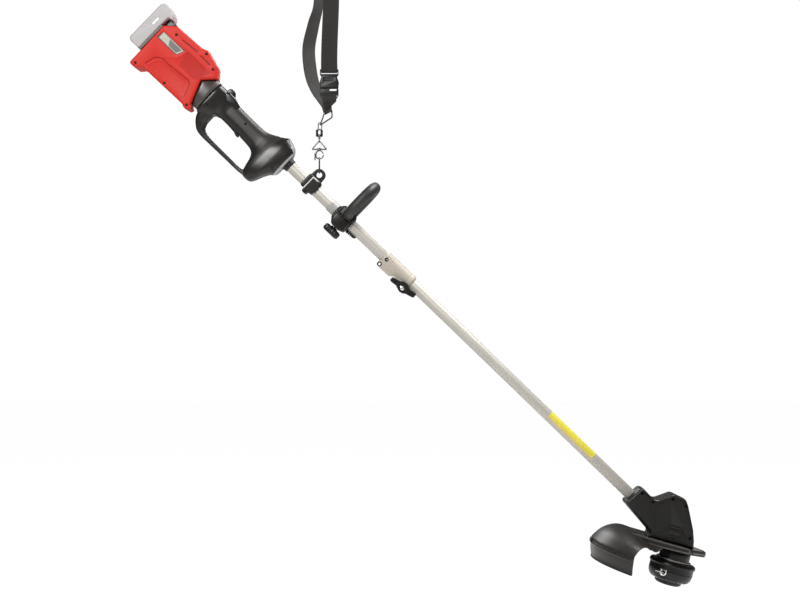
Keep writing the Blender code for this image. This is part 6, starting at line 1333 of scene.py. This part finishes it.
def makeHead():
    half, wall, gap = head["half"], head["wall"], head["gap"]
    corners = [
        (-0.1546, 0.0648, 0.007), (-0.1235, 0.1105, 0.01), (-0.0905, 0.0905, 0.013), (-0.08, 0.0922, 0.012),
        (-0.0495, 0.1135, 0.011), (-0.0155, 0.107, 0.009), (-0.0072, 0.0945, 0.008), (0.018, 0.0441, 0.01),
        (0.0262, 0.02, 0.008), (0.03, 0.0006, 0.002), (-0.083, 0.0006, 0.003), (-0.08, 0.014, 0.008),
    ]
    edge = head["edge"]
    outer = [(gap, 0.0), (half * 0.55, 0.0004), (half - edge, 0.0014)]
    outer += [(half - edge + edge * math.sin(t), 0.0014 + edge * (1 - math.cos(t)))
              for t in (math.pi / 2 * k / 8 for k in range(1, 9))]
    inner = [(gap, wall), (half * 0.8, wall + 0.001), (half - wall, wall + 0.006)]
    along = Vector((math.cos(headTurn), 0, -math.sin(headTurn)))
    across = Vector((math.sin(headTurn), 0, math.cos(headTurn)))
    start = across * 0.0051 - along * 0.16
    socket = tubeRings([start + along * t for t in (-0.04, 0.055)], tubes["bore"], 40)
    room = rod(0.0095, -0.01, 0.008, "Z", (-0.0035, 0, 0), 32)
    band = [(-0.077, 0.083, 0.008), (-0.048, 0.1035, 0.008), (-0.021, 0.0985, 0.006),
            (-0.015, 0.088, 0.006), (0.0085, 0.042, 0.008), (0.015, 0.008, 0.004), (-0.066, 0.008, 0.004),
            (-0.079, 0.056, 0.01)]
    screws = [(-0.12, 0.096), (-0.048, 0.101), (-0.015, 0.093), (0.013, 0.024), (-0.0905, 0.083)]
    for name, side in (("Right", -1), ("Left", 1)):
        shell = headSkin(hollowHalf(corners, inner, outer, side))
        cutters = [headSkin(socket), headSkin(room)]
        line, floor = head["line"], half - head["lineDepth"]
        frameLine = crown(inset(turnedRight(band), -line), [(side * floor, 0), (side * (half + 0.01), 0)])
        island = crown(inset(turnedRight(band), line),
                       [(side * (floor - 0.0003), 0), (side * (half + 0.02), 0)])
        cutters.append(carved(headSkin(frameLine), [headSkin(island)]))
        for low, high, height in ((-0.037, -0.01, 0.043), (-0.035, -0.012, 0.0365),
                                  (-0.034, -0.013, 0.0215), (-0.032, -0.014, 0.015)):
            outline = [(low, height - 0.001, 0.0009), (high, height - 0.0018, 0.0009),
                       (high, height + 0.0004, 0.0009), (low, height + 0.0012, 0.0009)]
            cutters.append(headSkin(dish(outline, half - 0.0022, half, 0.0003, side)))
        if side < 0:
            for x, z in screws:
                profile = [(0.003, -half - 0.01), (0.0043, -half - 0.0003), (0.0034, -half + 0.0008),
                           (0.0031, -half + 0.0018), (0.0031, -half + 0.0028 + 0.003)]
                cutters.append(headSkin(turnedRings(profile, "Y", (x, 0, z), 28)))
        mesh = carved(shell, cutters)
        shown("head" + name, mesh, "head", "lower_shaft", ["head_" + name.lower()], 34)
    for k, (x, z) in enumerate(screws):
        screw(f"headScrew{k + 1}", headPlace, (x, -half + 0.0058, z), "lower_shaft")


# Guard: r and z of its outer face, carried round the spindle; the cheeks fall by 26 mm s^2.2 towards the ends
guard = {"radius": 0.2, "sheet": 0.0024, "spread": math.radians(52), "steps": 96, "drop": 0.0417,
         "fall": 0.026, "deckHalf": 0.055, "skirt": 0.038, "skirtSteps": 120, "dents": 9}


def sweptSector(profile, fall=False, spread=None, steps=None):
    profile = np.asarray(profile, dtype=float)
    share = np.linspace(-1, 1, (steps or guard["steps"]) + 1)[:, None]
    angle = math.pi + (spread or guard["spread"]) * share
    r, z = profile[None, :, 0], profile[None, :, 1] + 0 * share
    if fall:
        out = r / guard["radius"]
        middle = np.clip((out - 0.275) / 0.275, 0, 1) * np.clip((0.98 - out) / 0.3, 0, 1)
        z = z - guard["fall"] * middle * np.abs(share) ** 2.2
    return np.stack([r * np.cos(angle), r * np.sin(angle), z], -1)


# A face line and its copy, moved by the thickness along the line's normal
def sheetProfile(face, thickness):
    face = np.asarray(face, dtype=float)
    ahead = np.gradient(face, axis=0)
    ahead /= np.linalg.norm(ahead, axis=1)[:, None]
    back = face - np.stack([-ahead[:, 1], ahead[:, 0]], 1) * thickness
    return np.vstack([face, back[::-1]])


def makeGuard():
    rim = guard["radius"]
    face = [(0.21, -0.0006), (0.4575, -0.0002), (0.54, 0.0052), (0.635, 0.0096), (0.73, 0.009),
            (0.805, 0.0042), (0.8725, -0.0042), (0.93, -0.015), (0.9725, -0.027), (0.999, -0.036),
            (0.999, -guard["drop"])]
    face = flowing([(share * rim, height) for share, height in face], 5)
    fan = headSkin(sweptSector(sheetProfile(face, guard["sheet"]), True))
    wide, back = guard["deckHalf"], -rim * 0.5
    deck = [(back, -wide, 0.01), (0.018, -wide, 0.045), (0.063, -0.02, 0.022), (0.063, 0.02, 0.022),
            (0.018, wide, 0.045), (back, wide, 0.01)]
    plate = crown(deck, [(-0.012, 0.0016), (-0.0114, 0.0006), (-0.01, 0.0), (-0.0016, 0.0),
                         (-0.0006, 0.0005), (0.0, 0.0016)], "XY", 14)
    well = crown(deck, [(-0.03, 0.003), (-0.004, 0.0045)], "XY", 14)
    hole = rod(0.011, -0.05, 0.05, "Z", (-0.0035, 0, 0), 40)
    plate = carved(headSkin(plate), [headSkin(well), headSkin(hole)])
    levels = [(-0.0076, -0.0004), (-0.007, -0.0006), (-0.0058, -0.0006), (-0.0048, -0.0002),
              (0.0004, 0.0085), (0.0014, 0.0115), (0.0016, 0.015)]
    rest = crown([(-0.3, -0.2, 0.001), (0.0255, -0.2, 0.001), (0.0255, 0.2, 0.001), (-0.3, 0.2, 0.001)],
                 [(-0.1, 0), (0.1, 0)], "XY")
    solid = headSkin(crown(deck, levels, "XY", 14))
    shown("guardTongue", carved(solid, [headSkin(rest)]), "tongue", "lower_shaft")
    parts, ribs, shadeStrips = [fan, plate], [], []
    for side in (-1, 1):
        outline = [(-rim * 0.862, -0.012, 0.002), (-rim * 0.76, 0.001, 0.012), (-rim * 0.64, 0.0046, 0.02),
                   (0.015, 0.0022, 0.004), (0.0215, -0.0095, 0.003), (-rim * 0.25, -0.0112, 0.003),
                   (-rim * 0.74, -0.009, 0.001), (-rim * 0.855, -0.018, 0.001)]
        low, high = sorted((side * (wide - 0.0027), side * (wide + 0.0065)))
        ridge = slab(outline, low, high, 0.0012)
        low, high = sorted((side * (wide + 0.0008), side * (wide + 0.0038)))
        groove = crown([(-rim * 0.81, 0.02, 0.001), (-rim * 0.74, 0.0008, 0.006),
                        (-rim * 0.6, 0.0016, 0.02), (0.01, -0.0008, 0.002), (0.03, 0.02, 0.001)],
                       [(low, 0), (high, 0)])
        # painted shade: thin near-black strips laid in the recesses beside the ridges stand in for the shade
        # inside them
        recess = [(-rim * 0.76, -0.004, 0.002), (-rim * 0.65, 0.0006, 0.012), (0.0115, -0.0014, 0.002),
                  (0.014, -0.006, 0.002), (-rim * 0.25, -0.0076, 0.002), (-rim * 0.72, -0.006, 0.002)]
        low, high = side * (wide + 0.0036), side * (wide + 0.0046)
        shadeStrips.append(headSkin(crown(inset(turnedRight(recess), 0.0002), [(low, 0), (high, 0)])))
        low, high = sorted((side * (wide + 0.0042), side * (wide + 0.01)))
        recess = crown(recess, [(low, 0), (high, 0)])
        ribs.append(carved(headSkin(ridge), [headSkin(groove), headSkin(recess)]))
    shown("guardRibs", joined(ribs), "rib", "lower_shaft")
    shown("guardRecessShade", joined(shadeStrips), "spool", "lower_shaft")
    bead = np.array([(math.cos(t) * 0.0011 + rim - 0.0009, math.sin(t) * 0.0016 - 0.0378)
                     for t in np.linspace(0, 2 * math.pi, 17)[:-1]])
    parts.append(headSkin(sweptSector(bead, spread=guard["spread"] * 0.995)))
    shown("guard", joined(parts), "guard", "lower_shaft", ["guard"], 34)


# Skirt: a section swept below the guard's rim, 0.4 mm less in radius where |sin n pi s| is below a tenth
def makeSkirt():
    rim, sheet, steps = guard["radius"], guard["sheet"], guard["skirtSteps"]
    top, low = -guard["drop"] - 0.0003, -guard["drop"] - guard["skirt"]
    section = [(rim - sheet, top), (rim + 0.0014, top), (rim + 0.0018, top - 0.0005),
               (rim + 0.0018, top - 0.0046), (rim + 0.0012, top - 0.0053), (rim - 0.0005, top - 0.0065),
               (rim - 0.0044, -0.064), (rim - 0.009, low + 0.004), (rim - 0.0085, low + 0.0004),
               (rim - 0.009, low), (rim - 0.0122, low), (rim - 0.0125, low + 0.0005),
               (rim - 0.0118, low + 0.006), (rim - 0.0076, -0.064), (rim - 0.0036, top - 0.0065)]
    rings = sweptSector(section, steps=steps)
    share = np.linspace(-1, 1, steps + 1)[:, None]
    wave = (np.abs(np.sin(share * math.pi * guard["dents"])) < 0.1) * 0.0004
    shrink = 1 - wave / rim
    rings[..., 0] *= shrink
    rings[..., 1] *= shrink
    mesh = headSkin(rings)
    shown("guardSkirt", mesh, "guard", "lower_shaft", ["guard_skirt"], 40)
    clip = [(0, 0.006), (0.0008, 0.006), (0.0012, 0.001), (0.0012, -0.0035), (0, -0.0045)]
    ends = (-0.011, -0.0104, 0.0104, 0.011)
    rings = [[(-(rim + 0.0021 + r), y, top + z) for r, z in clip] for y in ends]
    shown("skirtClip", headSkin(rings), "guard", "lower_shaft", ["skirt_clip"])


# Cutting head: cover, cap and knob are profiles turned about the spindle
spool = {"neck": 0.0355, "wide": 0.0535, "top": -0.014, "split": -0.062, "eyelet": math.radians(241),
         "grips": 12, "knob": 0.0315, "knobLow": -0.0952, "dents": 16, "line": 0.0012, "sides": 128}


def upward(height):
    return Vector((0, 0, height))


def makeSpool():
    neck, wide, top, split = spool["neck"], spool["wide"], spool["top"], spool["split"]
    sides = spool["sides"]
    cover = [
        (0.0043, top), (neck - 0.0045, top), (neck - 0.0015, top - 0.0006), (neck, top - 0.003),
        (neck + 0.0004, top - 0.007), (neck - 0.0002, top - 0.0074), (neck - 0.0002, top - 0.0082),
        (neck + 0.0004, top - 0.0086), (neck + 0.0004, -0.0325), (neck + 0.0008, -0.0362),
        (neck + 0.003, -0.0382), (wide - 0.007, -0.0392), (wide - 0.003, -0.0402), (wide - 0.0006, -0.0424),
        (wide + 0.0006, -0.0452), (wide + 0.0006, -0.0484), (wide - 0.0004, -0.05),
        (wide - 0.0018, -0.0506), (wide - 0.0022, -0.0512), (wide - 0.0018, split + 0.0016),
        (wide - 0.0023, split + 0.0012), (wide - 0.0023, split), (wide - 0.0045, split),
        (wide - 0.005, -0.045), (0.037, -0.0425), (0.03, top - 0.006), (0.0043, top - 0.006),
    ]
    cap = [
        (wide - 0.0045, split - 0.0003), (wide - 0.0021, split - 0.0003), (wide - 0.0017, split - 0.001),
        (wide - 0.0022, split - 0.006), (wide - 0.0034, split - 0.011), (wide - 0.0052, split - 0.015),
        (wide - 0.0075, split - 0.0182), (wide - 0.0105, split - 0.0208), (wide - 0.014, -0.0842),
        (wide - 0.0165, -0.0849), (wide - 0.0185, -0.085), (0.0321, -0.085), (0.0319, -0.0846),
        (0.0319, -0.0815), (wide - 0.0125, split - 0.017), (wide - 0.007, split - 0.008),
    ]
    eyelet, level = spool["eyelet"], upward(split - 0.004)
    cutters, grips = [], []
    for turn in (eyelet, eyelet + math.pi):
        way = outward(turn)
        cutters.append(tubeRings([way * (wide - 0.008) + level, way * (wide + 0.01) + level], 0.0058, 32,
                                 across=(0, 0, 1)))
    for k in range(spool["grips"]):
        turn = 2 * math.pi * (k + 0.5) / spool["grips"]
        way = outward(turn)
        path = [way * (wide - 0.0004) + upward(split - 0.01), way * (wide - 0.005) + upward(split - 0.0175),
                way * (wide - 0.014) + upward(split - 0.024)]
        grips.append(tubeRings(path, (0.0016, 0.0022, 0.0018), 12))
    for name, profile, extra in (("Cover", cover, []), ("Cap", cap, grips)):
        solid = spinSkin(turnedRings(profile, sides=sides), True)
        mesh = carved(solid, [spinSkin(rings) for rings in cutters + extra])
        shown("spool" + name, mesh, "spool", "cutting_head", ["spool_" + name.lower()], 34)
    bead = [(neck + 0.0034 + 0.0021 * math.cos(t), -0.0362 + 0.0019 * math.sin(t))
            for t in np.linspace(0, 2 * math.pi, 17)[:-1]]
    mesh = spinSkin(turnedRings(bead, sides=sides), True)
    shown("collarRing", mesh, "collar", "cutting_head")
    for k, turn in enumerate((eyelet, eyelet + math.pi)):
        way = outward(turn)
        side = Vector((way.y, -way.x, 0))
        out = way * (wide - 0.0006) + level
        turns = np.radians(np.linspace(160, 380, 25))
        bow = [out + side * (0.0064 * math.cos(t)) + upward(0.0064 * math.sin(t)) for t in turns]
        path = [bow[0] + upward(0.0042)] + bow + [bow[-1] + upward(0.0042)]
        parts = [spinSkin(tubeRings(path, 0.0018, 20, across=tuple(way)))]
        barrel = [(0.004, wide - 0.0068), (0.0056, wide - 0.0068), (0.0056, wide - 0.0024),
                  (0.004, wide - 0.0024)]
        rings = []
        for r, a in barrel:
            path = [way * (a - 0.0001) + level, way * (a + 0.0001) + level]
            rings.append(tubeRings(path, r, 36, across=(0, 0, 1))[0])
        parts.append(spinSkin(np.array(rings), True))
        shown(f"eyelet{k + 1}", joined(parts), "eyelet", "cutting_head", [f"eyelet_{k + 1}"])
        drop = level + upward(-0.001)
        path = [way * (wide - 0.005) + drop, way * (wide + 0.001) + side * 0.0006 + drop,
                way * (wide + 0.0022) + side * 0.005 + drop, way * (wide + 0.0026) + side * 0.011 + drop,
                way * (wide + 0.0016) + side * 0.018 + drop]
        mesh = spinSkin(tubeRings(flowing(path, 5), spool["line"], 16, across=(0, 0, 1)))
        shown(f"lineEnd{k + 1}", mesh, "line", "cutting_head", [f"line_end_{k + 1}"])
    radius, low = spool["knob"], spool["knobLow"]
    knob = [(0.008, low + 0.004), (0.008, split - 0.016), (0.0197, split - 0.016), (0.0197, split - 0.0133),
            (0.028, split - 0.0133), (radius, split - 0.019), (radius, low + 0.007),
            (radius - 0.0006, low + 0.0045), (radius - 0.0025, low + 0.0022),
            (radius - 0.005, low + 0.0006), (radius - 0.008, low), (0.004, low)]
    solid = spinSkin(turnedRings(knob, sides=96))
    dents = []
    for k in range(spool["dents"]):
        turn = 2 * math.pi * k / spool["dents"]
        way = outward(turn) * (radius + 0.0016)
        dent = tubeRings([way + upward(low - 0.002), way + upward(split - 0.02)], 0.0026, 12)
        dents.append(spinSkin(dent))
    shown("bumpKnob", carved(solid, dents), "spool", "bump", ["bump_knob"], 34)


# Stage, lights and camera; the camera sees wide metres of the tool's plane from its distance
stage = {"size": 9.0, "level": -1.78, "tone": 0.88, "glow": 1.06, "share": 0.92, "world": 0.16,
         "back": 0.86}
view = {"distance": 3.6, "wide": 1.864, "aim": (0.1879, -0.9553), "sensor": 36}


def makeStage():
    mesh = bpy.data.meshes.new("studioFloor")
    size, level, tone = stage["size"], stage["level"], stage["tone"]
    mesh.from_pydata([(-size, -size, level), (size, -size, level), (size, size, level),
                      (-size, size, level)],
                     [], [(0, 1, 2, 3)])
    floor = bpy.data.objects.new("studioFloor", mesh)
    bpy.context.collection.objects.link(floor)
    material = bpy.data.materials.new("paleFloor")
    material.use_nodes = True
    tree = material.node_tree
    shader = tree.nodes["Principled BSDF"]
    shader.inputs["Base Color"].default_value = (tone, tone, tone, 1)
    shader.inputs["Roughness"].default_value = 0.9
    glow = tree.nodes.new("ShaderNodeEmission")
    glow.inputs["Strength"].default_value = stage["glow"]
    light = tree.nodes.new("ShaderNodeLightPath")
    share = Flow(tree, light.outputs["Is Camera Ray"]) * stage["share"]
    sockets = {0: share, 1: Flow(tree, shader.outputs[0]), 2: Flow(tree, glow.outputs[0])}
    mixed = share.node("ShaderNodeMixShader", {}, sockets)
    tree.links.new(mixed.out, tree.nodes["Material Output"].inputs["Surface"])
    mesh.materials.append(material)


def makeWorld():
    world = bpy.data.worlds.new("studio")
    bpy.context.scene.world = world
    world.use_nodes = True
    tree = world.node_tree
    back = tree.nodes["Background"]
    light = Flow(tree, tree.nodes.new("ShaderNodeLightPath").outputs["Is Camera Ray"])
    plug(tree, back.inputs["Strength"], stage["world"] + light * stage["back"])
    back.inputs["Color"].default_value = (1, 1, 1, 1)


def areaLight(name, place, target, size, power):
    data = bpy.data.lights.new(name, "AREA")
    data.shape = "RECTANGLE"
    data.size, data.size_y = size
    data.energy = power
    lamp = bpy.data.objects.new(name, data)
    bpy.context.collection.objects.link(lamp)
    lamp.location = place
    lamp.rotation_euler = (Vector(target) - Vector(place)).to_track_quat("-Z", "Y").to_euler()


def makeCamera():
    data = bpy.data.cameras.new("camera")
    data.sensor_width = view["sensor"]
    data.lens = view["sensor"] * view["distance"] / view["wide"]
    camera = bpy.data.objects.new("camera", data)
    bpy.context.collection.objects.link(camera)
    camera.location = (view["aim"][0], -view["distance"], view["aim"][1])
    camera.rotation_euler = (math.radians(90), 0, 0)
    bpy.context.scene.camera = camera


makeTubes()
makeHandle()
makeTriggers()
makeCollars()
print("handle and tubes")
makeClamp()
makeLoopHandle()
makeLoopKnob()
makeCoupler()
print("clamp, loop handle and coupler")
makeChain()
makeBuckle()
print("chain and buckle")
makeHousing()
makeBattery()
makeNeck()
print("housing, battery and neck")
makeHead()
makeGuard()
makeSkirt()
makeSpool()
print("head, guard and cutting head")
makeStage()
makeWorld()
makeCamera()
lit = (0.2, 0, -1.0)
areaLight("keyLight", (-1.0, -2.9, 0.6), lit, (1.0, 1.0), 92)
areaLight("topLight", (1.2, 0.1, 1.1), lit, (1.6, 1.1), 92)
areaLight("backLight", (-0.6, 2.4, 0.2), lit, (1.6, 1.2), 30)
bpy.context.scene.view_settings.view_transform = "Standard"
